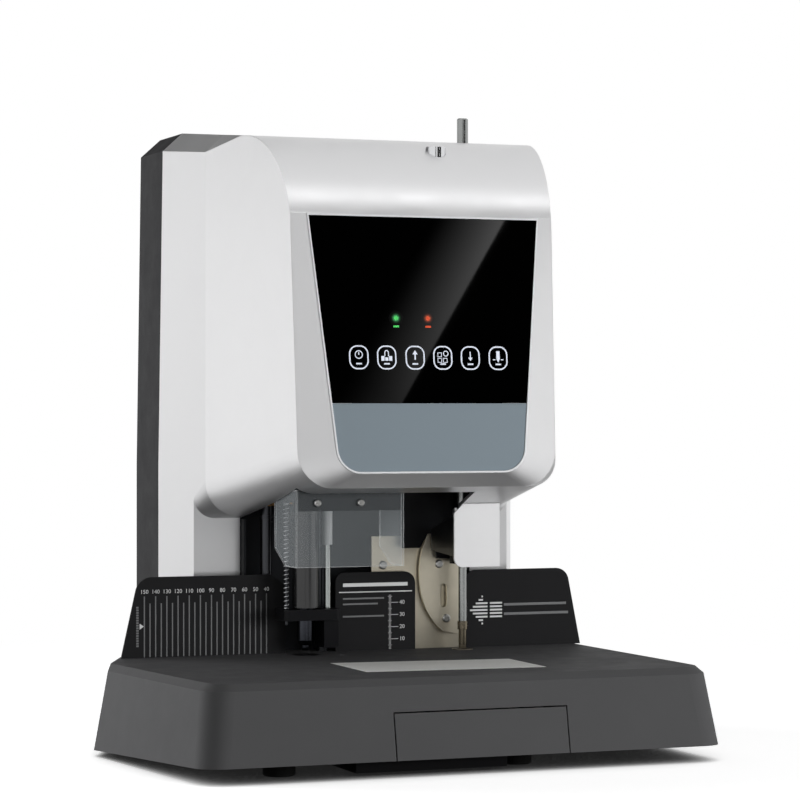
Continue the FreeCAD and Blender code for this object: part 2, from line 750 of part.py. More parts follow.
def pulley_at(x, y, groove, bore):
    """A flanged belt pulley."""
    core = rod(x, y, PULLEY_Z, PULLEY_TOP, groove)
    rims = [rod(x, y, z, z + 1.5, groove + 2) for z in (PULLEY_Z, PULLEY_TOP - 1.5)]
    return fuse([core] + rims).cut(rod(x, y, PULLEY_Z - 5, PULLEY_TOP + 5, bore))


def spindle_pulley():
    """The pulley on top of the spindle."""
    return pulley_at(DRILL_X, WORK_Y, SPINDLE_GROOVE, 5.0)


def motor_pulley():
    """The pulley and the shaft of the drill motor."""
    shaft = rod(MOTOR_X, MOTOR_Y, 228, 301, 3.0)
    return fuse([pulley_at(MOTOR_X, MOTOR_Y, MOTOR_GROOVE, 2.0), shaft])


def belt_slab(spindle_radius, motor_radius):
    """A slab bounded by two circles and their common tangents."""
    run = Vec(MOTOR_X - DRILL_X, MOTOR_Y - WORK_Y, 0)
    heading = math.atan2(run.y, run.x)
    spread = math.acos((spindle_radius - motor_radius) / run.Length)
    z0 = PULLEY_Z + 2
    discs = [rod(DRILL_X, WORK_Y, z0, PULLEY_TOP - 2, spindle_radius)]
    discs.append(rod(MOTOR_X, MOTOR_Y, z0, PULLEY_TOP - 2, motor_radius))
    corners = []
    on_spindle = (DRILL_X, WORK_Y, spindle_radius, (1, -1))
    on_motor = (MOTOR_X, MOTOR_Y, motor_radius, (-1, 1))
    for x, y, radius, signs in (on_spindle, on_motor):
        for sign in signs:
            angle = heading + sign * spread
            corners.append((x + radius * math.cos(angle), y + radius * math.sin(angle)))
    return fuse([prism_z(corners, z0, PULLEY_TOP - 2)] + discs)


def drive_belt():
    """The toothed belt from the motor to the spindle."""
    inner = belt_slab(SPINDLE_GROOVE + BELT_GAP, MOTOR_GROOVE + BELT_GAP)
    outer = belt_slab(SPINDLE_GROOVE + BELT_GAP + BELT_T, MOTOR_GROOVE + BELT_GAP + BELT_T)
    return outer.cut(inner)


def drill_motor():
    """The can of the drill motor, upright on the carriage arm."""
    can = rod(MOTOR_X, MOTOR_Y, CARRIAGE_TOP, 280, MOTOR_RADIUS)
    can = can.makeFillet(3.0, edges_where(can, lambda b: b.ZMin > 279))
    boss = rod(MOTOR_X, MOTOR_Y, 280, 283, 9.0)
    pilot = rod(MOTOR_X, MOTOR_Y, 222, CARRIAGE_TOP, 8.9)
    return fuse([can, boss, pilot]).cut(rod(MOTOR_X, MOTOR_Y, 227.5, 290, 3.1))


def foot_rod_bush():
    """The long grey bush that hangs from the carriage round the press foot's rod."""
    return tube(FOOT_ROD_X, WORK_Y, 165, CARRIAGE_TOP + 4, 4.5, 2.95)


def press_foot():
    """The black foot that holds the paper down round the drill."""
    plate = box(-78, -28, 30, 58, 103, 112)
    plate = plate.makeFillet(5.0, edges_where(plate, lambda b: b.ZLength > 8))
    leg = box(-42, -29, 34, 56, 80, 103)
    holes = [
        rod(DRILL_X, WORK_Y, 60, 120, QUILL_RADIUS + 1.6),
        rod(FOOT_ROD_X, WORK_Y, 95, 120, 2.9),
        rod(SPRING_X, WORK_Y, 95, 120, 1.4),
    ]
    return cut(fuse([plate, leg]), holes)


def foot_rods():
    """The chrome guide rod of the press foot and the thin pin inside its spring."""
    return group([rod(FOOT_ROD_X, WORK_Y, 95, 268, 2.9), rod(SPRING_X, WORK_Y, 99, 262, 1.4)])


def press_spring():
    """The space of the coil spring between the carriage and the press foot."""
    return tube(SPRING_X, WORK_Y, 112.3, CARRIAGE_Z - 0.3, 2.9, 1.9)


# ---------------------------------------------------------------- rivet press

RAM_RADIUS = 4.75
RIVET_ROD_X = (66.0, 106.0)
BRIDGE_Z = 224.0
BRIDGE_TOP = 230.0
BRIDGE_LEFT = 36.0
RAM_STEP_Z = 146.0
PUNCH_Z = 75.4
CROSSHEAD_Z = 242.0
CROSSHEAD_TOP = 260.0


def rivet_bridge():
    """The steel bridge under the rivet crosshead, bolted to the frame."""
    plate = box(BRIDGE_LEFT, 112, 26, FRAME_Y, BRIDGE_Z, BRIDGE_TOP)
    rib = box(BRIDGE_LEFT, BRIDGE_LEFT + 4, 60, FRAME_Y, BRIDGE_TOP, 300)
    holes = [rod(RIVET_X, WORK_Y, 200, 240, 8.0), rod(RIVET_X, SCREW_Y, 200, 240, 5.0)]
    return cut(fuse([plate, rib]), holes)


def ram_bushes():
    """The bushes that the rivet ram slides in: at the bridge, the shelf and the hood's top."""
    surface = TOP_Z - (SEAM_Y - WORK_Y) * TOP_SLOPE
    low = tube(RIVET_X, WORK_Y, BRIDGE_Z - 2, BRIDGE_TOP + 6, 8.0, RAM_RADIUS + 0.05)
    middle = tube(RIVET_X, WORK_Y, SHELF_Z, SHELF_Z + 4, 5.4, RAM_RADIUS + 0.05)
    high = tube(RIVET_X, WORK_Y, surface - 10, surface - 1.4, 7.9, RAM_RADIUS + 0.1)
    return group([low, middle, high])


def rivet_guide_rods():
    """The two rods that the rivet crosshead slides on."""
    return group([rod(x, SCREW_Y, BRIDGE_TOP, SHELF_Z, 4.0) for x in RIVET_ROD_X])


def rivet_crosshead():
    """The block that lifts the rivet ram."""
    block = box(56, 116, 34, 82, CROSSHEAD_Z, CROSSHEAD_TOP)
    block = block.makeFillet(3.0, edges_where(block, lambda b: b.ZLength > 15))
    tools = [rod(x, SCREW_Y, 230, 270, 4.05) for x in RIVET_ROD_X]
    tools.append(rod(RIVET_X, WORK_Y, 230, 270, RAM_RADIUS))
    tools.append(rod(RIVET_X, SCREW_Y, 230, 270, 4.3))
    return cut(block, tools)


def rivet_ram():
    """The bright rod of the press: thinner below the heater, its top stands out of the hood."""
    nose = rod(RIVET_X, WORK_Y, 98, RAM_STEP_Z, 3.7)
    body = nose.fuse(rod(RIVET_X, WORK_Y, RAM_STEP_Z, 524, RAM_RADIUS))
    return body.makeChamfer(0.8, edges_where(body, lambda b: b.ZMin > 523))


def rivet_punch():
    """The heated punch screwed on the lower end of the ram."""
    punch = fuse([rod(RIVET_X, WORK_Y, PUNCH_Z, 98, 3.3), rod(RIVET_X, WORK_Y, 91, 98, 4.3)])
    dish = Part.makeSphere(4.0, Vec(RIVET_X, WORK_Y, PUNCH_Z - 2.6))
    return punch.cut(dish)


def punch_heater():
    """The black band heater clamped round the ram, behind the rivet cover."""
    return tube(RIVET_X, WORK_Y, 147, 165, 11.0, RAM_RADIUS)


COVER_X0 = 62.0
COVER_X1 = 103.0
COVER_Y = 4.0
COVER_LOW = 146.0
COVER_HIGH = 199.0


def rivet_cover():
    """The silver sheet in front of the rivet head, with one cut and one round corner."""
    left = ((COVER_X0, COVER_LOW), (COVER_X0, COVER_HIGH - 8), (COVER_X0 + 8, COVER_HIGH))
    shape = left + ((COVER_X1, COVER_HIGH), (COVER_X1, COVER_LOW))
    plate = prism_y(shape, COVER_Y, COVER_Y + 2)
    return rounded_at(plate, [(COVER_X0, COVER_LOW)], 8.0)


def inner_shroud():
    """The black sheet that hangs from the bridge, bent forward beside the rivet head."""
    notch = ((BRIDGE_LEFT, 160), (52, 160), (59, 172), (64, 172), (67, 151), (90, 150))
    lower = notch + ((90, 184), (BRIDGE_LEFT, 184))
    sheet = prism_y(lower, 56, 58).fuse(box(BRIDGE_LEFT, 82, 56, 58, 184, BRIDGE_Z))
    outline = ((COVER_Y + 2, COVER_HIGH - 10), (56, 176), (56, 158), (COVER_Y + 2, COVER_LOW + 9))
    side = prism_x(outline, COVER_X0, COVER_X0 + 2)
    return fuse([sheet, side, box(BRIDGE_LEFT, 72, 44, 58, BRIDGE_Z - 2, BRIDGE_Z)])


PLATE_Y = 66.0
PLATE_SCREWS = ((22.0, 145.5),)
SLOT_SCREWS = ((71.2, 145.9), (77.8, 99.4))
SLOT_PLATE_Y = 61.0


def rear_plate():
    """The nickel plated sheet behind the guides, with a foot on the table."""
    plate = box(12, 92, PLATE_Y, PLATE_Y + 2, TABLE_Z, 170)
    foot = box(14, 90, PLATE_Y, PLATE_Y + 11, TABLE_Z, TABLE_Z + 2)
    return fuse([plate, foot])


def slotted_plate():
    """The bright plate with a round left edge and a long slot."""
    y = SLOT_PLATE_Y
    top = 172.0
    right = 89.0
    horn = Vec(61.5, y, top)
    bulge = Vec(53.5, y, 137)
    toe = Vec(74.5, y, 88.5)
    lines = [
        Part.Arc(horn, Vec(55.2, y, 155), bulge).toShape(),
        Part.Arc(bulge, Vec(58.6, y, 110), toe).toShape(),
        Part.makeLine(toe, Vec(right, y, 85.5)),
        Part.makeLine(Vec(right, y, 85.5), Vec(right, y, top)),
        Part.makeLine(Vec(right, y, top), horn),
    ]
    plate = Part.Face(Part.Wire(lines)).extrude(Vec(0, 2.5, 0))
    slot_ends = [rod_y(75.3, z, 60, 65, 3.3) for z in (112, 125.4)]
    slot = fuse([box(72, 78.6, 60, 65, 112, 125.4)] + slot_ends)
    shelf = box(66, right, 59.5, y, top - 8, top)
    return fuse([plate.cut(slot), shelf])


# ---------------------------------------------------------------- paper guides

def guide(outline, rounds, flange):
    """An upright sheet guide with a flange to the back at its foot."""
    sheet = prism_y(outline, GUIDE_Y, GUIDE_Y + GUIDE_T)
    for corner, radius in rounds:
        sheet = rounded_at(sheet, [corner], radius)
    foot = box(flange[0], flange[1], GUIDE_Y, GUIDE_Y + 13.5, TABLE_Z, TABLE_Z + GUIDE_T)
    return fuse([sheet, foot])


def left_guide():
    """The wide guide on the left with the long scale."""
    top = GUIDE_TOP_Z
    outline = ((-208, TABLE_Z), (-193.2, top), (-78.8, top), (-66, top - 9.5), (-66, TABLE_Z))
    return guide(outline, [((-193.2, top), 14.0)], (-198, -103))


def centre_guide():
    """The narrow guide in the middle with the upright scale."""
    top = GUIDE_TOP_Z
    outline = ((-22, TABLE_Z), (-22, top), (50, top), (50, TABLE_Z))
    return guide(outline, [((-22, top), 8.0), ((50, top), 10.0)], (-20, 10))


def right_guide():
    """The guide on the right with a sloping outer edge."""
    top = GUIDE_TOP_Z
    outline = ((95.5, TABLE_Z), (95.5, top), (191, top), (204, TABLE_Z))
    return guide(outline, [((95.5, top), 10.5), ((191, top), 12.0)], (106, 198))


GUIDE_SCREWS = (-185.0, -110.0, -5.0, 120.0, 185.0)


# ---------------------------------------------------------------- drill guard

GUARD_LEFT = -100.6
GUARD_RIGHT = -9.0
GUARD_Y = -63.0
GUARD_BACK = -11.0
GUARD_LOW = 152.4
GUARD_T = 1.5


def drill_guard():
    """The clear guard round the drill: a front and two sides with cut corners."""
    front = box(GUARD_LEFT, GUARD_RIGHT, GUARD_Y, GUARD_Y + GUARD_T, GUARD_LOW, 214)
    side = ((GUARD_Y, 214), (GUARD_BACK, 207), (GUARD_BACK, 166), (-37, GUARD_LOW), (GUARD_Y, GUARD_LOW))
    sides = [prism_x(side, x, x + GUARD_T) for x in (GUARD_LEFT, GUARD_RIGHT - GUARD_T)]
    return fuse([front] + sides)


def guard_bracket():
    """The angle inside the lip of the hood that carries the guard."""
    upright = box(-98, -11, GUARD_Y + GUARD_T, GUARD_Y + GUARD_T + 1.5, 197, 220.5)
    top = box(-84, -11, -82, GUARD_Y + GUARD_T + 1.5, 219, 220.5)
    return fuse([upright, top])


GUARD_SCREW_X = (-82.5, -46.0)
GUARD_SCREW_Z = 203.5


def pan_head_screws():
    """The cross recessed screws of the feet, the cover, the plates, the guides and the guard."""
    screws = [pan_screw(x, y, 3.4, (0, 0, -1), 3.6, 15.0, 1.8) for x, y in FEET]
    screws += [pan_screw(x, REAR_Y, z, (0, 1, 0)) for x, z in COVER_SCREWS]
    screws += [pan_screw(x, PLATE_Y, z, (0, -1, 0), 3.6, 14.0, 1.8) for x, z in PLATE_SCREWS]
    screws += [pan_screw(x, SLOT_PLATE_Y, z, (0, -1, 0), 3.6, 18.0, 1.8) for x, z in SLOT_SCREWS]
    flange_y = GUIDE_Y + 8.5
    screws += [pan_screw(x, flange_y, TABLE_Z + GUIDE_T, (0, 0, 1), 3.2, 9.0, 1.6) for x in GUIDE_SCREWS]
    screws += [pan_screw(x, GUARD_Y, GUARD_SCREW_Z, (0, -1, 0), 3.0, 5.0, 1.5) for x in GUARD_SCREW_X]
    return group(screws)


# ---------------------------------------------------------------- operating panel

def panel_rim():
    """The thin bright rim round the panel, also its tray."""
    ring = panel_block(RIM - 0.1, PANEL_DEPTH - 0.1, 0.6)
    return ring.cut(panel_block(0.1, PANEL_DEPTH - 0.7, 3.0)).cut(panel_block(-16, 10.0, 0.0))


def panel_glass():
    """The black glass over the touch keys."""
    slab = panel_block(0.0, PANEL_DEPTH - 0.8, 0.2)
    return slab.common(box(-120, 120, -130, -60, BAND_Z + 0.1, 450))


def panel_band():
    """The grey blue plate under the glass."""
    slab = panel_block(0.0, PANEL_DEPTH - 0.8, 0.0)
    return slab.common(box(-120, 120, -130, -60, 200, BAND_Z - 0.1))


def on_panel(shape, z):
    """Put a shape, made upright with its face at y = 0, on the leaning panel at a height."""
    shape.rotate(Vec(0, 0, 0), Vec(1, 0, 0), -LEAN)
    shape.translate(Vec(0, panel_y(z), z))
    return shape


def control_board():
    """The circuit board of the touch keys, on four posts behind the tray of the panel."""
    board = box(-62, 62, 5.0, 6.6, -50, 50)
    posts = [rod_y(x, z, 1.95, 5.0, 2.6) for x in (-57, 57) for z in (-45, 45)]
    return on_panel(fuse([board] + posts), 335)


LAMP_X = (-27.1, 0.0)
LAMP_Z = 349.8


def status_lamps():
    """The two small lamps behind the glass."""
    return on_panel(group([rod_y(x, 0, 1.25, 4.9, 1.5) for x in LAMP_X]), LAMP_Z)


def tube_chute():
    """The bright tube, with a thick rim in the brow, that leads the rivet tube to its cutter."""
    rim = rod(TUBE_X, TUBE_Y, 462, 490.5, 8.0)
    return fuse([rod(TUBE_X, TUBE_Y, 262, 484, 5.5), rim]).cut(rod(TUBE_X, TUBE_Y, 260, 500, 3.6))


def cutter_housing():
    """The block under the chute with the channel of the cutter blade."""
    block = box(14, 62, -56, -28, 244, 262)
    arm = box(40, 54, -28, 30, 244, 250)
    arm_foot = box(40, 54, 26, 34, BRIDGE_TOP, 250)
    body = fuse([block, arm, arm_foot])
    return cut(body, [rod(TUBE_X, TUBE_Y, 240, 270, 4.2), box(14, 80, -49.3, -34.7, 251.7, 254.6)])


def cutter_blade():
    """The blade that slides across the chute and cuts the rivet tube to length."""
    blade = prism_z(((33, -49), (33.5, -49), (72, -49), (72, -35), (41, -35), (33, -47)), 252, 254.3)
    return blade.cut(rod(66, -42, 240, 270, 2.0))


# ---------------------------------------------------------------- electrical parts

def power_supply():
    """The power supply in the foot of the rear cover."""
    return box(20, 120, 120, 172, TABLE_Z, 190)


def power_inlet():
    """The mains inlet with its three blades, flush in the rear cover."""
    body = box(-124.6, -92.4, 168, REAR_Y + 0.8, 96.4, 123.6)
    body = fuse([body, box(-129, -88, REAR_Y, REAR_Y + 2.0, 92, 128)])
    body = body.cut(box(-120, -97, 174, REAR_Y + 5, 101, 119))
    blades = [box(x - 1, x + 1, 172, 182, z, z + 5) for x, z in ((-115.5, 106), (-101.5, 106), (-108.5, 111))]
    return fuse([body] + blades)


def switch_frame():
    """The frame of the rocker switch."""
    sleeve = box(-79.6, -58.4, 168, REAR_Y + 0.8, 96.4, 123.6)
    body = sleeve.fuse(box(-82, -56, REAR_Y, REAR_Y + 1.6, 93, 127))
    return body.cut(box(-77.5, -60.5, 174, REAR_Y + 5, 99, 121))


ROCKER_Y = 180.0
ROCKER_Z = 110.0
ROCKER_TILT = 8.0


def switch_rocker():
    """The rocker of the mains switch, resting with its upper end pressed in."""
    y = ROCKER_Y
    z = ROCKER_Z
    outline = ((y + 1.5, z - 9.3), (y + 6.0, z - 9.0), (y + 4.6, z), (y + 6.0, z + 9.0), (y + 1.5, z + 9.3))
    body = prism_x(outline, -76.9, -61.1)
    hub = rod_x(y, z, -76.9, -61.1, 3.4)
    rocker = fuse([body, hub])
    rocker.rotate(Vec(0, y, z), Vec(1, 0, 0), ROCKER_TILT)
    return rocker


def fuse_holder():
    """The round fuse holder beside the switch."""
    body = rod_y(-38, 110, 158, REAR_Y + 0.5, 6.9)
    cap = rod_y(-38, 110, REAR_Y, REAR_Y + 4.5, 8.5)
    cap = cap.makeChamfer(0.8, edges_where(cap, lambda b: b.YMin > REAR_Y + 4.4))
    slot = box(-43, -33, REAR_Y + 3.5, REAR_Y + 6, 109.2, 110.8)
    return fuse([body, cap]).cut(slot)


SUB_PARTS = (
    base_shell, bottom_pan, rubber_feet, drill_pad, rivet_anvil,
    drawer_runners, drawer_front, chip_drawer, front_shell, rear_cover, pan_head_screws,
    column_frame, motor_shelf, feed_motors, drill_guide_rods, drill_feed_screw,
    carriage_block, carriage_bushes, quill, spindle_bearings, foot_rod_bush,
    drill_motor, motor_pulley, drive_belt, spindle_pulley, drill_spindle, drill_bit,
    press_foot, foot_rods, press_spring,
    rivet_bridge, ram_bushes, rivet_guide_rods, rivet_feed_screw,
    rivet_crosshead, rivet_ram, rivet_punch, punch_heater,
    rivet_cover, inner_shroud, rear_plate, slotted_plate,
    left_guide, centre_guide, right_guide, drill_guard, guard_bracket,
    panel_glass, panel_band, panel_rim, control_board, status_lamps,
    tube_chute, cutter_housing, cutter_blade,
    power_supply, power_inlet, switch_frame, switch_rocker, fuse_holder,
)


def main():
    """Build every sub-part and write it to its own file."""
    os.makedirs("parts", exist_ok=True)
    for make in SUB_PARTS:
        shape = make()
        shape.translate(ORIGIN_SHIFT)
        shape.exportStep(os.path.join("parts", make.__name__ + ".step"))
        print(make.__name__, len(shape.Solids), round(shape.Volume / 1000, 1), shape.isValid())


if __name__ == "__main__":
    main()
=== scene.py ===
"""Looks of a document riveting machine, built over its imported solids.

Sizes of the machine are in millimetres and are drawn about the centre plane of the column. The
function place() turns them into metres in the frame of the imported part. The studio is in metres.
"""
from __future__ import annotations

import logging
import math
from collections.abc import Callable, Iterable, Sequence
from dataclasses import dataclass, field
from enum import Enum

import bmesh
import bpy
from mathutils import Matrix, Vector

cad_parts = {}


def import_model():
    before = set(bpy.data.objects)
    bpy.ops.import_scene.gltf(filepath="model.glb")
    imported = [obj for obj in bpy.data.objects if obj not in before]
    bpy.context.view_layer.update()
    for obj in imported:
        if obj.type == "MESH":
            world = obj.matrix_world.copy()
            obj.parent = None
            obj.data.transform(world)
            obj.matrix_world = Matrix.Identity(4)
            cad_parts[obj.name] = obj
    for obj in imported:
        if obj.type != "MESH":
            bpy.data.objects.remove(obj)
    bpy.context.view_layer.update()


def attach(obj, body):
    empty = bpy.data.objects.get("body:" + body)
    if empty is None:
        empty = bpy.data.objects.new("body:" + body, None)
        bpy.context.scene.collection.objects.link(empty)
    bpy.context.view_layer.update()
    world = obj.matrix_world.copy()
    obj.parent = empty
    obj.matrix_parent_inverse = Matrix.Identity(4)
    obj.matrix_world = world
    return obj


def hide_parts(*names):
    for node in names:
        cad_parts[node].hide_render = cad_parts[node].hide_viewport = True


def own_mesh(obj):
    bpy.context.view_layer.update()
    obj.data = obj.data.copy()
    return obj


LOG = logging.getLogger("riveting_machine")
MM = 0.001
DRAWN_ORIGIN = Vector((0.012, 0.002, 0.0))
WHITE = (1.0, 1.0, 1.0, 1.0)

Flat = tuple[float, float]
Outline = Sequence[Flat]
Box = tuple[float, float, float, float]
Spot = tuple[float, float, float]
Figure = tuple[str, float, float]
Surface = Callable[[float, float, float], Vector]
Values = dict[str | int, object]


def place(x: float, y: float, z: float) -> Vector:
    """Turn a drawn point into the part's frame.

    Args:
        x: Millimetres to the right of the column's centre plane.
        y: Millimetres to the back.
        z: Millimetres above the surface that the feet stand on.

    Returns:
        The point in metres.
    """
    return Vector((x, y, z)) * MM + DRAWN_ORIGIN


def linear(color: Sequence[float]) -> tuple[float, float, float]:
    """Turn a colour as painted, 0 to 255, into linear light.

    Args:
        color: Red, green and blue from 0 to 255.

    Returns:
        Red, green and blue in linear light, 0 to 1.
    """
    def channel(value: float) -> float:
        """One channel in linear light."""
        share = value / 255.0
        return share / 12.92 if share <= 0.04045 else ((share + 0.055) / 1.055) ** 2.4

    return channel(color[0]), channel(color[1]), channel(color[2])


# ------------------------------------------------------------------ finishes


class Grain(Enum):
    """What breaks up a surface."""

    POWDER = "fine dimples of powder paint"
    FLAKE = "metal flakes under a clear coat"
    SATIN = "an even coat with a faint cloud"
    DRAWN = "lines left by drawing or brushing"
    TURNED = "rings left by a lathe"
    MOULDED = "the skin of moulded plastic"
    POLISHED = "a few hairline scratches"


GRAIN_STRETCH = {
    Grain.DRAWN: (1.0, 1.0, 0.03),
    Grain.TURNED: (0.05, 0.05, 1.0),
    Grain.POLISHED: (1.0, 1.0, 0.2),
}


MIX_SHARE, MIX_LOW, MIX_HIGH, MIX_COLOR = 0, 6, 7, 2
NOISE_REACH = (0.3, 0.7)
ROUGH_LEAST, ROUGH_MOST = 0.88, 1.15
EDGE_REACH = 1.2
EDGE_AGREEMENT = (0.995, 0.90)
EDGE_MOST = 0.8
# EDGE_GAIN and EDGE_LIFT set how far the painted edge highlight lightens the colour.
EDGE_GAIN, EDGE_LIFT = 2.2, 0.12
BEVEL_SAMPLES = 4


class Nodes:
    """A short way to lay out shader nodes."""

    def __init__(self, tree: bpy.types.NodeTree) -> None:
        """Start from an empty tree."""
        tree.nodes.clear()
        self.tree = tree

    def add(self, kind: str, values: Values | None = None, **facts: object) -> bpy.types.Node:
        """Add a node.

        Args:
            kind: The node's type, without the word ShaderNode.
            values: Socket name or number to the value that it holds.
            **facts: Properties of the node itself.

        Returns:
            The new node.
        """
        node = self.tree.nodes.new("ShaderNode" + kind)
        for name, value in facts.items():
            setattr(node, name, value)
        for name, value in (values or {}).items():
            node.inputs[name].default_value = value
        return node

    def join(
        self, source: bpy.types.Node, output: str | int, target: bpy.types.Node, entry: str | int
    ) -> None:
        """Link an output of one node to an input of another."""
        self.tree.links.new(source.outputs[output], target.inputs[entry])

    def remap(self, source: Flat, target: Flat, **facts: object) -> bpy.types.Node:
        """Add a map of one stretch of numbers onto another."""
        values = {"From Min": source[0], "From Max": source[1], "To Min": target[0], "To Max": target[1]}
        return self.add("MapRange", values, **facts)

    def blend(self, low: Sequence[float], high: Sequence[float]) -> bpy.types.Node:
        """Add a mix of two linear colours.

        Args:
            low: The colour where the share is 0.
            high: The colour where the share is 1.

        Returns:
            The mix, whose sockets are MIX_SHARE, MIX_LOW, MIX_HIGH and MIX_COLOR.
        """
        node = self.add("Mix", data_type="RGBA")
        node.inputs[MIX_LOW].default_value = (*low, 1.0)
        node.inputs[MIX_HIGH].default_value = (*high, 1.0)
        return node

    def light(self, strength: float = 1.0) -> bpy.types.Node:
        """Add an even white light."""
        return self.add("Emission", {"Color": WHITE, "Strength": strength})

    def matt(self, shade: float) -> bpy.types.Node:
        """Add a matt grey."""
        return self.add("BsdfDiffuse", {"Color": (shade, shade, shade, 1.0)})

    def choose(
        self, share: bpy.types.Node, low: bpy.types.Node, high: bpy.types.Node, output: str | int = 0
    ) -> bpy.types.Node:
        """Mix two shaders.

        Args:
            share: The node that says how much of the second one shows.
            low: The shader where the share is 0.
            high: The shader where the share is 1.
            output: Which output of the share's node counts.

        Returns:
            The mixed shader.
        """
        mix = self.add("MixShader")
        self.join(share, output, mix, 0)
        self.join(low, 0, mix, 1)
        self.join(high, 0, mix, 2)
        return mix

    def sight(self) -> tuple[bpy.types.Node, bpy.types.Node]:
        """Tell what the camera looks at from what only lights the object.

        Returns:
            The node with the kinds of ray, and one that is 1 for what the camera looks at.
        """
        rays = self.add("LightPath")
        looked_at = self.add("Math", operation="MAXIMUM")
        self.join(rays, "Is Camera Ray", looked_at, 0)
        self.join(rays, "Is Transmission Ray", looked_at, 1)
        return rays, looked_at

    def show(self, shader: bpy.types.Node, output: str = "OutputMaterial") -> None:
        """Make a shader the surface of the material or the world."""
        self.join(shader, 0, self.add(output), "Surface")


def new_material(name: str) -> tuple[bpy.types.Material, Nodes]:
    """Make a material with an empty layout.

    Args:
        name: The material's name.

    Returns:
        The material, and its nodes to fill.
    """
    material = bpy.data.materials.new(name)
    material.use_nodes = True
    return material, Nodes(material.node_tree)


@dataclass(frozen=True)
class Finish:
    """A surface finish, with all that its shader needs."""

    name: str
    color: tuple[int, int, int]
    roughness: float
    grain: Grain
    metallic: float = 0.0
    cloud: float = 0.05
    grain_mm: float = 1.2
    relief_mm: float = 0.03
    coat: float = 0.0
    specular: float = 0.5
    edge_mm: float = 0.5
    # edge_light: strength of the painted edge highlight.
    edge_light: float = 0.12
    alpha: float = 1.0
    edge_alpha: float = 1.0
    emission: float = 0.0

    def material(self) -> bpy.types.Material:
        """Build the material, or return it if it has been built.

        Returns:
            The material of this finish.
        """
        found = bpy.data.materials.get(self.name)
        if found is not None:
            return found
        material, nodes = new_material(self.name)
        shader = self.shader(nodes)
        where = nodes.add("TexCoord")
        self.paint(nodes, where, shader)
        self.relief(nodes, where, shader)
        nodes.show(shader)
        return material

    def shader(self, nodes: Nodes) -> bpy.types.Node:
        """Add the shader with the numbers that are the same all over.

        Args:
            nodes: The layout to add it to.

        Returns:
            The shader node.
        """
        values = {
            "Metallic": self.metallic,
            "Roughness": self.roughness,
            "Specular IOR Level": self.specular,
            "Coat Weight": self.coat,
            "Coat Roughness": 0.08,
            "Alpha": self.alpha,
        }
        if self.emission:
            values["Emission Color"] = (*linear(self.color), 1.0)
            values["Emission Strength"] = self.emission
        return nodes.add("BsdfPrincipled", values)

    def paint(self, nodes: Nodes, where: bpy.types.Node, shader: bpy.types.Node) -> None:
        """Let the colour drift a little, and paint a highlight along the edges.

        Args:
            nodes: The layout to add to.
            where: The texture coordinates.
            shader: The shader that takes the colour.
        """
        base = linear(self.color)
        low = [channel * (1 - self.cloud) for channel in base]
        high = [channel * (1 + self.cloud) for channel in base]
        cloud = nodes.add("TexNoise", {"Scale": 14.0, "Detail": 4.0, "Roughness": 0.6})
        drift = nodes.blend(low, high)
        nodes.join(where, "Object", cloud, "Vector")
        nodes.join(cloud, 0, drift, MIX_SHARE)
        # Painted highlight: the colour is lightened along the edges that the bevel mask finds, for light
        # caught on rounded edges.
        gain = 1 + EDGE_GAIN * self.edge_light
        lift = EDGE_LIFT * self.edge_light
        edge_highlight = nodes.blend(base, [min(1.0, channel * gain + lift) for channel in base])
        mask = self.edge_mask(nodes)
        nodes.join(drift, MIX_COLOR, edge_highlight, MIX_LOW)
        nodes.join(mask, 0, edge_highlight, MIX_SHARE)
        nodes.join(edge_highlight, MIX_COLOR, shader, "Base Color")
        # Painted highlight on see-through finishes: their edges also turn more opaque.
        if self.alpha < 1.0:
            cover = nodes.remap((0.0, EDGE_MOST), (self.alpha, self.edge_alpha))
            nodes.join(mask, 0, cover, 0)
            nodes.join(cover, 0, shader, "Alpha")

    def edge_mask(self, nodes: Nodes) -> bpy.types.Node:
        """Find the edges, where a rounded normal and the true one part.

        Args:
            nodes: The layout to add to.

        Returns:
            A node whose output 0 is EDGE_MOST on an edge and 0 elsewhere.
        """
        true = nodes.add("NewGeometry")
        rounded = nodes.add("Bevel", {"Radius": self.edge_mm * MM * EDGE_REACH}, samples=BEVEL_SAMPLES)
        agreement = nodes.add("VectorMath", operation="DOT_PRODUCT")
        nodes.join(true, "True Normal", agreement, 0)
        nodes.join(rounded, 0, agreement, 1)
        mask = nodes.remap(EDGE_AGREEMENT, (0.0, EDGE_MOST))
        nodes.join(agreement, "Value", mask, 0)
        return mask

    def relief(self, nodes: Nodes, where: bpy.types.Node, shader: bpy.types.Node) -> None:
        """Give the surface its grain, in height and in roughness.

        Args:
            nodes: The layout to add to.
            where: The texture coordinates.
            shader: The shader that takes the normal and the roughness.
        """
        mapping = nodes.add("Mapping", {"Scale": GRAIN_STRETCH.get(self.grain, (1.0, 1.0, 1.0))})
        nodes.join(where, "Object", mapping, "Vector")
        scale = 1.0 / (self.grain_mm * MM)
        if self.grain in (Grain.FLAKE, Grain.MOULDED):
            grain = nodes.add("TexVoronoi", {"Scale": scale})
            height = "Distance"
        else:
            grain = nodes.add("TexNoise", {"Scale": scale, "Detail": 3.0, "Roughness": 0.55})
            height = 0
        nodes.join(mapping, "Vector", grain, "Vector")
        rounded = nodes.add("Bevel", {"Radius": self.edge_mm * MM}, samples=BEVEL_SAMPLES)
        bump = nodes.add("Bump", {"Strength": 0.6, "Distance": self.relief_mm * MM})
        nodes.join(grain, height, bump, "Height")
        nodes.join(rounded, 0, bump, "Normal")
        nodes.join(bump, 0, shader, "Normal")
        patchy = nodes.add("TexNoise", {"Scale": 45.0, "Detail": 5.0, "Roughness": 0.65})
        nodes.join(mapping, "Vector", patchy, "Vector")
        roughest = min(1.0, self.roughness * ROUGH_MOST)
        spread = nodes.remap(NOISE_REACH, (self.roughness * ROUGH_LEAST, roughest))
        nodes.join(patchy, 0, spread, 0)
        nodes.join(spread, 0, shader, "Roughness")


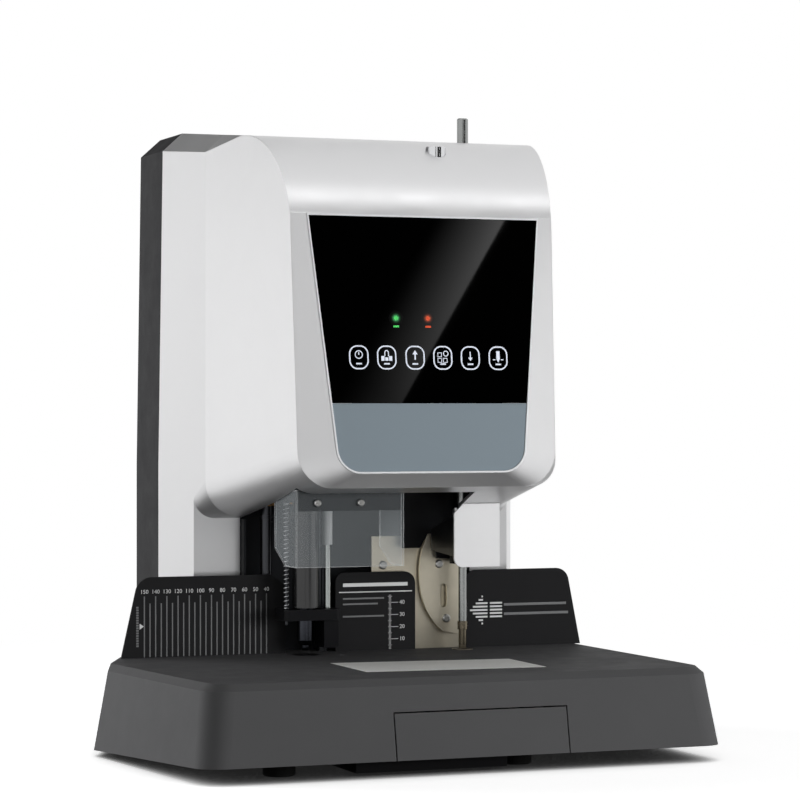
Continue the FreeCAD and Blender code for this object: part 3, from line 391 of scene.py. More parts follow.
@dataclass(frozen=True)
class Glow:
    """The soft spot of a small lamp seen through dark glass."""

    name: str
    color: tuple[int, int, int]
    core_mm: float = 0.5
    halo_mm: float = 6.0
    sharpness: float = 5.0
    strength: float = 3.0

    def material(self) -> bpy.types.Material:
        """Build a glass black material that shines round the middle of its piece.

        Returns:
            The material.
        """
        material, nodes = new_material(self.name)
        shader = nodes.add("BsdfPrincipled", {
            "Base Color": (0.002, 0.002, 0.002, 1.0),
            "Roughness": 0.06,
            "Specular IOR Level": 0.12,
            "Emission Color": (*linear(self.color), 1.0),
        })
        where = nodes.add("TexCoord")
        length = nodes.add("VectorMath", operation="LENGTH")
        fall = nodes.remap((self.core_mm * MM, self.halo_mm * MM), (1.0, 0.0))
        sharp = nodes.add("Math", {1: self.sharpness}, operation="POWER")
        grain = nodes.add("TexNoise", {"Scale": 900.0, "Detail": 2.0})
        lively = nodes.add("Math", operation="MULTIPLY")
        strength = nodes.add("Math", {1: self.strength}, operation="MULTIPLY")
        nodes.join(where, "Object", length, 0)
        nodes.join(length, "Value", fall, 0)
        nodes.join(fall, 0, sharp, 0)
        nodes.join(where, "Object", grain, "Vector")
        nodes.join(sharp, 0, lively, 0)
        nodes.join(grain, 0, lively, 1)
        nodes.join(lively, 0, strength, 0)
        nodes.join(strength, 0, shader, "Emission Strength")
        nodes.show(shader)
        return material


BASE_PAINT = Finish(
    "base_powder_paint", (84, 84, 85), 0.62, Grain.POWDER,
    cloud=0.06, relief_mm=0.05, grain_mm=1.0, specular=0.04,
)
# Painted shade: a darker copy of the base paint, darkened for the shade the cover shows.
COVER_SHADED_PAINT = Finish(
    "cover_shaded_powder_paint", (46, 46, 47), 0.6, Grain.POWDER,
    cloud=0.05, relief_mm=0.05, grain_mm=1.0, specular=0.03,
)
GUIDE_PAINT = Finish(
    "guide_black_paint", (33, 33, 34), 0.55, Grain.POWDER,
    cloud=0.07, relief_mm=0.03, grain_mm=0.8, specular=0.08,
)
# Painted shade: the pan's near-black paint also stands in for the shadow in the gap under the base.
PAN_BLACK_AND_SHADE = Finish("pan_black_paint_and_shade", (16, 16, 17), 0.55, Grain.SATIN, cloud=0.1, specular=0.1)
HOOD_SILVER = Finish(
    "hood_silver_paint", (220, 220, 221), 0.34, Grain.FLAKE,
    metallic=0.75, cloud=0.012, grain_mm=0.6, relief_mm=0.006, specular=0.3, edge_light=0.04,
)
SHEET_SILVER = Finish(
    "sheet_silver_paint", (238, 238, 239), 0.4, Grain.FLAKE,
    metallic=0.3, cloud=0.02, grain_mm=0.6, relief_mm=0.006, specular=0.3, edge_light=0.04,
)
# Painted shade: the shroud is black sheet, and its black also stands in for the shadow in the hollow under
# the hood.
SHROUD_BLACK_AND_SHADE = Finish(
    "shroud_black_paint_and_shade", (15, 16, 18), 0.35, Grain.SATIN,
    cloud=0.1, coat=0.1, specular=0.2,
)
# Painted shade: the frame's dark paint also stands in for the shadow inside the column and under the hood.
FRAME_DARK_AND_SHADE = Finish("frame_dark_paint_and_shade", (28, 29, 31), 0.5, Grain.SATIN, cloud=0.08, specular=0.12)
NICKEL = Finish(
    "dull_nickel_plate", (228, 220, 200), 0.36, Grain.SATIN,
    metallic=0.9, cloud=0.34, grain_mm=7.0, relief_mm=0.05,
)
ZINC = Finish(
    "zinc_sheet", (168, 170, 173), 0.36, Grain.DRAWN,
    metallic=0.95, cloud=0.07, grain_mm=0.5, relief_mm=0.01,
)
CHROME = Finish(
    "hard_chrome", (214, 215, 217), 0.1, Grain.POLISHED,
    metallic=1.0, cloud=0.02, grain_mm=0.6, relief_mm=0.002,
)
ROD_STEEL = Finish(
    "ground_rod_steel", (158, 162, 160), 0.14, Grain.POLISHED,
    metallic=1.0, cloud=0.05, grain_mm=0.6, relief_mm=0.002,
)
# Painted shade: the ram's steel is darkened for the dark hollow that it mirrors.
RAM_STEEL = Finish(
    "darkened_ram_steel", (150, 152, 151), 0.2, Grain.TURNED,
    metallic=1.0, cloud=0.08, grain_mm=0.6, relief_mm=0.006,
)
SCREW_ZINC = Finish(
    "screw_zinc", (196, 196, 194), 0.3, Grain.TURNED,
    metallic=1.0, cloud=0.05, grain_mm=0.4, relief_mm=0.01, edge_mm=0.2,
)
# Dark steel for the drill's guide rods and the pin in the spring, darker than the bright rods.
DARK_ROD = Finish(
    "dark_rod_steel", (62, 63, 66), 0.25, Grain.TURNED,
    metallic=0.9, cloud=0.08, grain_mm=0.5, relief_mm=0.006,
)
TOOL_STEEL = Finish(
    "turned_tool_steel", (112, 113, 116), 0.28, Grain.TURNED,
    metallic=1.0, cloud=0.08, grain_mm=0.5, relief_mm=0.012,
)
SPRING_STEEL = Finish(
    "bright_spring_wire", (206, 207, 209), 0.22, Grain.SATIN,
    metallic=1.0, cloud=0.04, grain_mm=0.5, relief_mm=0.004, edge_mm=0.05,
)
DRILL_STEEL = Finish(
    "oiled_drill_steel", (64, 66, 72), 0.24, Grain.TURNED,
    metallic=1.0, cloud=0.08, grain_mm=0.5, relief_mm=0.01,
)
BRONZE = Finish(
    "sintered_bronze", (166, 130, 84), 0.4, Grain.POWDER,
    metallic=0.9, cloud=0.1, grain_mm=0.6,
)
PUNCH_BRASS = Finish(
    "heat_stained_brass", (122, 114, 98), 0.26, Grain.TURNED,
    metallic=1.0, cloud=0.12, grain_mm=0.6,
)
ALLOY = Finish(
    "turned_alloy", (186, 188, 190), 0.3, Grain.TURNED,
    metallic=0.95, cloud=0.04, grain_mm=0.5, relief_mm=0.01,
)
MILLED = Finish(
    "milled_alloy", (176, 178, 181), 0.36, Grain.DRAWN,
    metallic=0.95, cloud=0.05, grain_mm=0.7, relief_mm=0.01,
)
ANODISED = Finish(
    "dark_anodised_alloy", (48, 50, 54), 0.4, Grain.SATIN,
    metallic=0.5, cloud=0.06, grain_mm=0.5,
)
QUILL_BLACK = Finish(
    "quill_black_gloss", (26, 26, 27), 0.24, Grain.TURNED,
    cloud=0.1, coat=0.3, grain_mm=0.8, relief_mm=0.006, specular=0.5,
)
MOTOR_BLACK = Finish("motor_black_paint", (22, 22, 24), 0.42, Grain.SATIN, cloud=0.08, specular=0.2)
BLACK_PLASTIC = Finish(
    "black_moulded_plastic", (17, 17, 19), 0.45, Grain.MOULDED,
    cloud=0.08, grain_mm=0.9, relief_mm=0.02, specular=0.15,
)
GLOSS_PLASTIC = Finish(
    "black_gloss_plastic", (18, 18, 19), 0.22, Grain.MOULDED,
    cloud=0.06, grain_mm=1.4, relief_mm=0.006,
)
GREY_PLASTIC = Finish(
    "grey_acetal", (150, 152, 153), 0.38, Grain.MOULDED,
    cloud=0.04, grain_mm=1.2, relief_mm=0.01, specular=0.3,
)
RIM_WHITE = Finish(
    "rim_white_gloss", (240, 241, 243), 0.25, Grain.SATIN,
    cloud=0.01, relief_mm=0.004, edge_light=0.0,
)
RUBBER = Finish(
    "black_rubber", (18, 18, 18), 0.8, Grain.POWDER,
    cloud=0.12, grain_mm=0.9, relief_mm=0.04, specular=0.1,
)
BELT_RUBBER = Finish(
    "toothed_belt_rubber", (24, 24, 25), 0.65, Grain.DRAWN,
    cloud=0.1, grain_mm=0.7, relief_mm=0.05, specular=0.2,
)
PANEL_GLASS = Finish(
    "panel_black_glass", (1, 1, 1), 0.02, Grain.POLISHED,
    cloud=0.0, relief_mm=0.0001, specular=0.12, edge_mm=0.2, edge_light=0.0,
)
PANEL_GREY = Finish(
    "panel_grey_blue", (134, 146, 154), 0.5, Grain.SATIN,
    cloud=0.02, relief_mm=0.004, specular=0.2, edge_light=0.02,
)
# Painted highlight: the edge mask makes the guard's edges lighter and more opaque, for the light its edges
# catch.
GUARD_CLEAR = Finish(
    "guard_clear_sheet", (214, 222, 226), 0.12, Grain.POLISHED,
    cloud=0.06, relief_mm=0.01, alpha=0.08, edge_alpha=0.55, edge_mm=0.8, edge_light=0.3,
)
BOARD_GREEN = Finish("board_green_lacquer", (22, 92, 52), 0.4, Grain.MOULDED, cloud=0.12, grain_mm=3.0)
LAMP_TINT = Finish("lamp_tinted_lens", (150, 190, 150), 0.1, Grain.POLISHED, cloud=0.05, alpha=0.7)
PRINT_WHITE = Finish(
    "white_print", (214, 215, 215), 0.5, Grain.POWDER,
    cloud=0.06, grain_mm=0.4, relief_mm=0.004, edge_light=0.0,
)
PRINT_GREY = Finish(
    "grey_print", (112, 113, 114), 0.5, Grain.POWDER,
    cloud=0.12, grain_mm=0.4, relief_mm=0.004, edge_light=0.0,
)
KEY_LIGHT = Finish(
    "key_white_light", (214, 220, 232), 0.4, Grain.POWDER,
    cloud=0.1, grain_mm=0.5, relief_mm=0.002, edge_light=0.0, emission=0.35,
)
GREEN_LIGHT = Finish(
    "lamp_green_light", (70, 190, 90), 0.4, Grain.POWDER,
    cloud=0.2, grain_mm=0.5, relief_mm=0.002, edge_light=0.0, emission=0.5,
)
RED_LIGHT = Finish(
    "lamp_red_light", (190, 70, 40), 0.4, Grain.POWDER,
    cloud=0.2, grain_mm=0.5, relief_mm=0.002, edge_light=0.0, emission=0.5,
)
LABEL_GREY = Finish(
    "blank_label_film", (250, 250, 246), 0.5, Grain.POWDER,
    cloud=0.1, grain_mm=1.5, relief_mm=0.01, specular=0.2, edge_light=0.0,
)
ANVIL_STEEL = Finish(
    "heat_stained_steel", (118, 112, 102), 0.34, Grain.TURNED,
    metallic=0.95, cloud=0.14, grain_mm=0.6,
)
SUPPLY_SHEET = Finish(
    "supply_alloy_sheet", (170, 172, 174), 0.4, Grain.DRAWN,
    metallic=0.9, cloud=0.06, grain_mm=0.8,
)
GREEN_GLOW = Glow("green_lamp_glow", (120, 255, 160), 0.5, 6.0)
RED_GLOW = Glow("red_lamp_glow", (255, 120, 80), 0.5, 6.0)


# ------------------------------------------------------------------ mesh helpers


CAP_SHARE = 0.72
FIGURE_FOOT = -0.02
FILM_MM = 0.04
FILM_SIDES = 48


def dress(names: Iterable[str], finish: Finish) -> None:
    """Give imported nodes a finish.

    Args:
        names: The nodes.
        finish: What they are finished in.
    """
    for name in names:
        thing = bpy.data.objects[name]
        thing.data.materials.clear()
        thing.data.materials.append(finish.material())
        LOG.info("dressed %s in %s", name, finish.name)


def into_scene(name: str, mesh: bmesh.types.BMesh, material: bpy.types.Material) -> bpy.types.Object:
    """Turn a built mesh into an object of the scene.

    Args:
        name: The object's name.
        mesh: The mesh, which is freed.
        material: What it is made of.

    Returns:
        The new object.
    """
    data = bpy.data.meshes.new(name)
    mesh.to_mesh(data)
    mesh.free()
    data.materials.append(material)
    thing = bpy.data.objects.new(name, data)
    bpy.context.scene.collection.objects.link(thing)
    return thing


def piece(
    name: str,
    mesh: bmesh.types.BMesh,
    finish: Finish | Glow,
    body: str,
    origin: Sequence[float] = (0.0, 0.0, 0.0),
) -> bpy.types.Object:
    """Turn a built mesh into a piece that rides on a body.

    Args:
        name: The piece's name.
        mesh: The mesh, which is freed.
        finish: What it is finished in.
        body: The body that it moves with.
        origin: Where its own origin goes, in metres.

    Returns:
        The new object.
    """
    bmesh.ops.recalc_face_normals(mesh, faces=mesh.faces)
    thing = into_scene(name, mesh, finish.material())
    thing.location = origin
    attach(thing, body)
    LOG.info("built %s on %s", name, body)
    return thing


def ribbon(points: Outline, width: float, closed: bool = False) -> list[list[Flat]]:
    """Widen a line into quads.

    Args:
        points: The line's corners.
        width: How wide the ribbon is.
        closed: Whether the last point joins the first.

    Returns:
        Flat quads, one for each stretch.
    """
    count = len(points)
    left: list[Flat] = []
    right: list[Flat] = []
    for index, (x, z) in enumerate(points):
        before = points[index - 1] if index or closed else points[index]
        after = points[(index + 1) % count] if index + 1 < count or closed else points[index]
        along = Vector((after[0] - before[0], after[1] - before[1])).normalized()
        across = Vector((-along.y, along.x)) * width / 2
        left.append((x + across.x, z + across.y))
        right.append((x - across.x, z - across.y))
    stretches = range(count if closed else count - 1)
    return [[left[i], left[(i + 1) % count], right[(i + 1) % count], right[i]] for i in stretches]


def bar(x0: float, x1: float, z0: float, z1: float) -> list[Flat]:
    """A flat rectangle."""
    return [(x0, z0), (x1, z0), (x1, z1), (x0, z1)]


def arc(x: float, z: float, radius: float, start: float, end: float, steps: int = 16) -> list[Flat]:
    """Points along an arc.

    Args:
        x: The centre.
        z: The centre.
        radius: The arc's radius.
        start: First angle in degrees, from +x.
        end: Last angle in degrees.
        steps: How many stretches.

    Returns:
        The points, both ends included.
    """
    turns = [math.radians(start + (end - start) * i / steps) for i in range(steps + 1)]
    return [(x + radius * math.cos(t), z + radius * math.sin(t)) for t in turns]


def circle(x: float, z: float, radius: float, steps: int = 24) -> list[Flat]:
    """Points round a full circle, each one once."""
    return arc(x, z, radius, 0, 360, steps)[:-1]


def rounded(x: float, z: float, half: Flat, radius: float, steps: int = 10) -> list[Flat]:
    """Points round a rectangle with round corners.

    Args:
        x: The centre.
        z: The centre.
        half: Half its width and half its height.
        radius: The radius of its corners.
        steps: How many stretches a corner has.

    Returns:
        The points, anticlockwise from the right side's top.
    """
    in_x = half[0] - radius
    in_z = half[1] - radius
    line = []
    for quarter, (a, b) in enumerate(((in_x, in_z), (-in_x, in_z), (-in_x, -in_z), (in_x, -in_z))):
        line += arc(x + a, z + b, radius, 90 * quarter, 90 * (quarter + 1), steps)
    return line


def raised(
    mesh: bmesh.types.BMesh, faces: Iterable[Outline], surface: Surface, low: float, high: float
) -> None:
    """Add thin raised areas on a surface.

    Args:
        mesh: The mesh to add to.
        faces: The flat outline of each area.
        surface: Turns a flat point and a height over the surface into a place.
        low: Height of the areas' underside over the surface.
        high: Height of their face over the surface.
    """
    for outline in faces:
        foot = [mesh.verts.new(surface(x, z, low)) for x, z in outline]
        head = [mesh.verts.new(surface(x, z, high)) for x, z in outline]
        count = len(outline)
        mesh.faces.new(head)
        mesh.faces.new(foot[::-1])
        for i in range(count):
            mesh.faces.new((foot[i], foot[(i + 1) % count], head[(i + 1) % count], head[i]))


def numerals(
    mesh: bmesh.types.BMesh, words: str, x: float, z: float, tall: float, surface: Surface, high: float
) -> None:
    """Add the figures of a scale, centred on a point.

    Args:
        mesh: The mesh to add to.
        words: The figures.
        x: Middle of the figures.
        z: Middle of the figures.
        tall: Their height.
        surface: Turns a flat point and a height over the surface into a place.
        high: Height of their face over the surface.
    """
    curve = bpy.data.curves.new("figures", "FONT")
    curve.body = words
    curve.align_x = "CENTER"
    curve.align_y = "CENTER"
    curve.size = tall / CAP_SHARE
    curve.extrude = 0.5
    curve.resolution_u = 3
    holder = bpy.data.objects.new("figures", curve)
    flat = bpy.data.meshes.new_from_object(holder)
    start = len(mesh.verts)
    mesh.from_mesh(flat)
    mesh.verts.ensure_lookup_table()
    for vertex in mesh.verts[start:]:
        lift = high if vertex.co.z > 0 else FIGURE_FOOT
        vertex.co = surface(x + vertex.co.x, z + vertex.co.y, lift)
    bpy.data.objects.remove(holder)
    bpy.data.curves.remove(curve)
    bpy.data.meshes.remove(flat)


def soft_spot(
    name: str, centre: Vector, radius: float, finish: Glow, lean: float
) -> bpy.types.Object:
    """Make a thin round film whose own origin is at its middle.

    Args:
        name: The piece's name.
        centre: Its middle, in metres.
        radius: Its radius in millimetres.
        finish: How it shines.
        lean: How far it leans back, in radians.

    Returns:
        The new piece.
    """
    mesh = bmesh.new()
    film = bmesh.ops.create_cone(
        mesh,
        cap_ends=True,
        segments=FILM_SIDES,
        radius1=radius * MM,
        radius2=radius * MM,
        depth=FILM_MM * MM,
    )
    turn = Matrix.Rotation(math.radians(90) - lean, 3, "X")
    bmesh.ops.rotate(mesh, verts=film["verts"], matrix=turn)
    return piece(name, mesh, finish, "base", origin=centre)


# ------------------------------------------------------------------ sub-assemblies


@dataclass
class Housing:
    """Base, column, hood, rear cover and chip drawer."""

    label_corners: Outline = ((-62.3, -37.5), (-61.5, -118.8), (86.2, -129.3), (86.7, -53.1))
    label_z: float = 74.0
    label_film: Flat = (-0.05, 0.12)

    def build(self) -> None:
        """Dress the painted housing and add the blank label on the table."""
        dress(("base_shell", "drawer_front"), BASE_PAINT)
        dress(("bottom_pan",), PAN_BLACK_AND_SHADE)
        dress(("rubber_feet",), RUBBER)
        dress(("front_shell",), HOOD_SILVER)
        dress(("rear_cover",), COVER_SHADED_PAINT)
        dress(("column_frame", "motor_shelf"), FRAME_DARK_AND_SHADE)
        dress(("chip_drawer", "drawer_runners"), ZINC)
        dress(("pan_head_screws",), SCREW_ZINC)
        self.label()

    def label(self) -> bpy.types.Object:
        """Make the blank grey film in the middle of the table.

        Returns:
            The film.
        """
        mesh = bmesh.new()

        def table(x: float, y: float, out: float) -> Vector:
            """A point over the table."""
            return place(x, y, self.label_z + out)

        raised(mesh, [self.label_corners], table, *self.label_film)
        return piece("table_label_film", mesh, LABEL_GREY, "base")


@dataclass
class PaperGuides:
    """The three upright guides and what is printed on them."""

    face_y: float = 62.0
    print_foot: float = -0.05
    print_face: float = 0.12
    figure_tall: float = 3.4
    first_x: float = -83.1
    first_figure: int = 40
    ten_step: float = 9.582
    tick_foot: float = 74.4
    long_tick: float = 124.3
    short_tick: float = 118.4
    tick_half: float = 0.5
    tick_count: int = 23
    figure_z: float = 127.9
    figure_count: int = 12
    pointer: Outline = ((-192.5, 102.2), (-192.5, 97.2), (-189.0, 99.7))
    dash: Box = (-195.4, -193.4, 83.0, 84.5)
    dash_pitch: float = 2.1
    dash_count: int = 16
    ruler_x: float = 27.0
    ruler_zero: float = 72.9
    ruler_step: float = 1.028
    ruler_values: range = range(2, 47)
    fine_half: Flat = (1.0, 0.18)
    fifth_half: Flat = (1.7, 0.18)
    ten_mark: Flat = (7.4, 0.22)
    ten_values: Sequence[int] = (10, 20, 30, 40)
    ten_figure_x: float = 11.0
    rule: Box = (-19.0, 47.0, 123.0, 123.9)
    heading: Box = (-15.4, 43.0, 128.0, 131.0)
    centre_lines: Sequence[Box] = (
        (-15.4, 21.6, 117.3, 118.7),
        (-15.4, 16.0, 112.7, 114.1),
        (-15.4, 21.6, 102.3, 103.7),
    )
    arrow_tip: Flat = (100.4, 105.4)
    stripe_pitch: float = 2.9
    stripe_half: float = 0.75
    stripe_least: float = 1.2
    head_rows: range = range(-4, 5)
    head_slope: float = 0.92
    outer_end: float = 112.4
    inner_end: float = 116.6
    shaft_rows: range = range(-2, 3)
    shaft: Flat = (118.9, 130.2)
    right_lines: Sequence[Box] = ((132.0, 190.5, 108.5, 110.7), (132.0, 192.5, 100.5, 102.7))

    def build(self) -> None:
        """Dress the guides and print their scales."""
        dress(("left_guide", "centre_guide", "right_guide"), GUIDE_PAINT)
        self.long_scale()
        self.upright_scale()
        self.arrow()

    def face(self, x: float, z: float, out: float) -> Vector:
        """A point on the front of the guides."""
        return place(x, self.face_y - out, z)

    def printed(
        self, name: str, areas: Iterable[Outline], finish: Finish, figures: Iterable[Figure] = ()
    ) -> bpy.types.Object:
        """Print areas and figures on the guides.

        Args:
            name: The piece's name.
            areas: Flat outlines.
            finish: The ink.
            figures: Figures with the place of their middle.

        Returns:
            The printed piece.
        """
        mesh = bmesh.new()
        raised(mesh, areas, self.face, self.print_foot, self.print_face)
        for words, x, z in figures:
            numerals(mesh, words, x, z, self.figure_tall, self.face, self.print_face)
        return piece(name, mesh, finish, "base")

    def long_scale(self) -> None:
        """Print the long scale of the left guide."""
        ticks = []
        for step in range(self.tick_count):
            x = self.first_x - self.ten_step * step / 2
            top = self.short_tick if step % 2 else self.long_tick
            ticks.append(bar(x - self.tick_half, x + self.tick_half, self.tick_foot, top))
        figures = []
        for ten in range(self.figure_count):
            words = str(self.first_figure + 10 * ten)
            figures.append((words, self.first_x - self.ten_step * ten, self.figure_z))
        x0, x1, z0, z1 = self.dash
        rises = [self.dash_pitch * row for row in range(self.dash_count)]
        self.printed("left_guide_ticks", ticks, PRINT_GREY)
        self.printed("left_guide_figures", [self.pointer], PRINT_WHITE, figures)
        self.printed("left_guide_dashes", [bar(x0, x1, z0 + rise, z1 + rise) for rise in rises], PRINT_GREY)

    def upright_scale(self) -> None:
        """Print the upright scale of the centre guide."""
        areas = [bar(*self.rule)]
        for value in self.ruler_values:
            half_x, half_z = self.fine_half if value % 5 else self.fifth_half
            z = self.ruler_zero + self.ruler_step * value
            areas.append(bar(self.ruler_x - half_x, self.ruler_x + half_x, z - half_z, z + half_z))
        reach, half_z = self.ten_mark
        figures = []
        for value in self.ten_values:
            z = self.ruler_zero + self.ruler_step * value
            areas.append(bar(self.ruler_x, self.ruler_x + reach, z - half_z, z + half_z))
            figures.append((str(value), self.ruler_x + self.ten_figure_x, z))
        self.printed("centre_guide_scale", areas, PRINT_WHITE, figures)
        self.printed("centre_guide_heading", [bar(*self.heading)], PRINT_WHITE)
        self.printed("centre_guide_lines", [bar(*line) for line in self.centre_lines], PRINT_GREY)

    def arrow(self) -> None:
        """Print the striped arrow of the right guide and the two plain lines beside it."""
        stripes = []
        for row in self.head_rows:
            start = self.arrow_tip[0] + abs(row * self.stripe_pitch) * self.head_slope
            end = self.inner_end if row in self.shaft_rows else self.outer_end
            stripes.append(self.stripe(row, start, max(end, start + self.stripe_least)))
        for row in self.shaft_rows:
            stripes.append(self.stripe(row, *self.shaft))
        self.printed("right_guide_arrow", stripes, PRINT_WHITE)
        self.printed("right_guide_lines", [bar(*line) for line in self.right_lines], PRINT_GREY)

    def stripe(self, row: int, start: float, end: float) -> list[Flat]:
        """A stripe of the arrow, some rows above its tip."""
        z = self.arrow_tip[1] + row * self.stripe_pitch
        return bar(start, end, z - self.stripe_half, z + self.stripe_half)


class KeyMark(Enum):
    """What a touch key shows."""

    POWER = "power"
    STACK = "stack"
    UP = "up"
    GRID = "grid"
    DOWN = "down"
    DRILL = "drill"


@dataclass
class OperatingPanel:
    """The leaning panel: black glass, touch keys, lamps, grey plate and rim."""

    top_y: float = -84.0
    top_z: float = 430.0
    foot_y: float = -103.7
    foot_z: float = 229.0
    glass_out: float = 0.2
    key_z: float = 318.6
    key_half: Flat = (7.6, 8.9)
    key_round: float = 6.2
    key_film: Flat = (-0.02, 0.05)
    stroke: float = 1.15
    mark_stroke: float = 0.8
    lamp_z: float = 349.8
    green_x: float = -27.1
    red_x: float = 0.0
    halo_out: float = 0.03
    halo_radius: float = 6.0
    dot_radius: float = 1.7
    dot_film: Flat = (0.02, 0.09)
    lamp_bar: Box = (-2.4, 2.4, -7.4, -5.8)
    keys: dict[KeyMark, float] = field(default_factory=lambda: {
        KeyMark.POWER: -59.4,
        KeyMark.STACK: -36.0,
        KeyMark.UP: -12.0,
        KeyMark.GRID: 11.6,
        KeyMark.DOWN: 35.2,
        KeyMark.DRILL: 59.2,
    })

    def build(self) -> None:
        """Dress the panel and light its keys and lamps."""
        dress(("panel_glass",), PANEL_GLASS)
        dress(("panel_band",), PANEL_GREY)
        dress(("panel_rim",), RIM_WHITE)
        dress(("control_board",), BOARD_GREEN)
        dress(("status_lamps",), LAMP_TINT)
        for mark, x in self.keys.items():
            self.key(mark, x)
        self.lamp("green_lamp", self.green_x, GREEN_GLOW, GREEN_LIGHT)
        self.lamp("red_lamp", self.red_x, RED_GLOW, RED_LIGHT)

    def face(self, x: float, z: float, out: float) -> Vector:
        """A point on the glass."""
        share = (self.top_z - z) / (self.top_z - self.foot_z)
        y = self.top_y + (self.foot_y - self.top_y) * share
        return place(x, y - self.glass_out - out, z)

    def key(self, mark: KeyMark, x: float) -> bpy.types.Object:
        """Make the lit outline and mark of a touch key.

        Args:
            mark: What it shows.
            x: Its middle.

        Returns:
            The piece.
        """
        outline = rounded(x, self.key_z, self.key_half, self.key_round)
        areas = ribbon(outline, self.stroke, closed=True)
        areas += [[(x + a, self.key_z + b) for a, b in area] for area in self.mark(mark)]
        mesh = bmesh.new()
        raised(mesh, areas, self.face, *self.key_film)
        return piece(f"touch_key_{mark.value}", mesh, KEY_LIGHT, "base")

    def mark(self, mark: KeyMark) -> list[Outline]:
        """The generic mark of a key, about the key's middle.

        Args:
            mark: Which mark.

        Returns:
            Flat areas.
        """
        thin = self.mark_stroke
        underline = bar(-2.4, 2.4, -5.6, -4.3)
        if mark is KeyMark.POWER:
            ring = ribbon(circle(0, 2.2, 3.0), thin, closed=True)
            return [*ring, bar(-0.4, 0.4, 2.0, 4.2), underline]
        if mark is KeyMark.STACK:
            arch = [(-1.5, 1.0), *arc(0, 4.0, 1.5, 180, 0, 10), (1.5, 1.0)]
            boxes = [bar(-4.6, -1.9, -2.6, 1.2), bar(-1.3, 1.3, -2.6, 0.2), bar(1.9, 4.6, -2.6, 1.2)]
            return [*ribbon(arch, thin), *boxes, underline]
        if mark is KeyMark.UP:
            return [[(-2.2, 2.6), (2.2, 2.6), (0.0, 6.0)], bar(-0.6, 0.6, -1.6, 2.6), underline]
        if mark is KeyMark.DOWN:
            return [[(-2.0, 0.4), (0.0, -2.4), (2.0, 0.4)], bar(-0.45, 0.45, 0.4, 5.0), underline]
        if mark is KeyMark.GRID:
            areas: list[Outline] = []
            for x, z in ((-4.2, 0.8), (-4.2, -3.6), (0.4, -3.6)):
                areas += ribbon(bar(x, x + 3.2, z, z + 3.2), thin, closed=True)
            return [*areas, *ribbon(circle(2.6, 3.4, 2.0, 20), thin, closed=True), underline]
        head = [(-1.5, -0.8), (1.5, -0.8), (0.0, -3.6)]
        sides = [bar(-4.6, -2.2, -1.6, -0.9), bar(2.2, 4.6, -1.6, -0.9)]
        return [bar(-1.5, 1.5, -0.8, 5.6), head, *sides, underline]

    def lamp(self, name: str, x: float, glow: Glow, light: Finish) -> None:
        """Light one of the two lamps, with a short plain bar under it.

        Args:
            name: The lamp's name.
            x: Its middle.
            glow: The soft light round it.
            light: The light of the lamp and of the bar.
        """
        lean = math.atan2(self.top_y - self.foot_y, self.top_z - self.foot_z)
        centre = self.face(x, self.lamp_z, self.halo_out)
        soft_spot(f"{name}_halo", centre, self.halo_radius, glow, lean)
        x0, x1, z0, z1 = self.lamp_bar
        dot = circle(x, self.lamp_z, self.dot_radius)
        under = bar(x + x0, x + x1, self.lamp_z + z0, self.lamp_z + z1)
        mesh = bmesh.new()
        raised(mesh, [dot, under], self.face, *self.dot_film)
        piece(f"{name}_dot", mesh, light, "base")


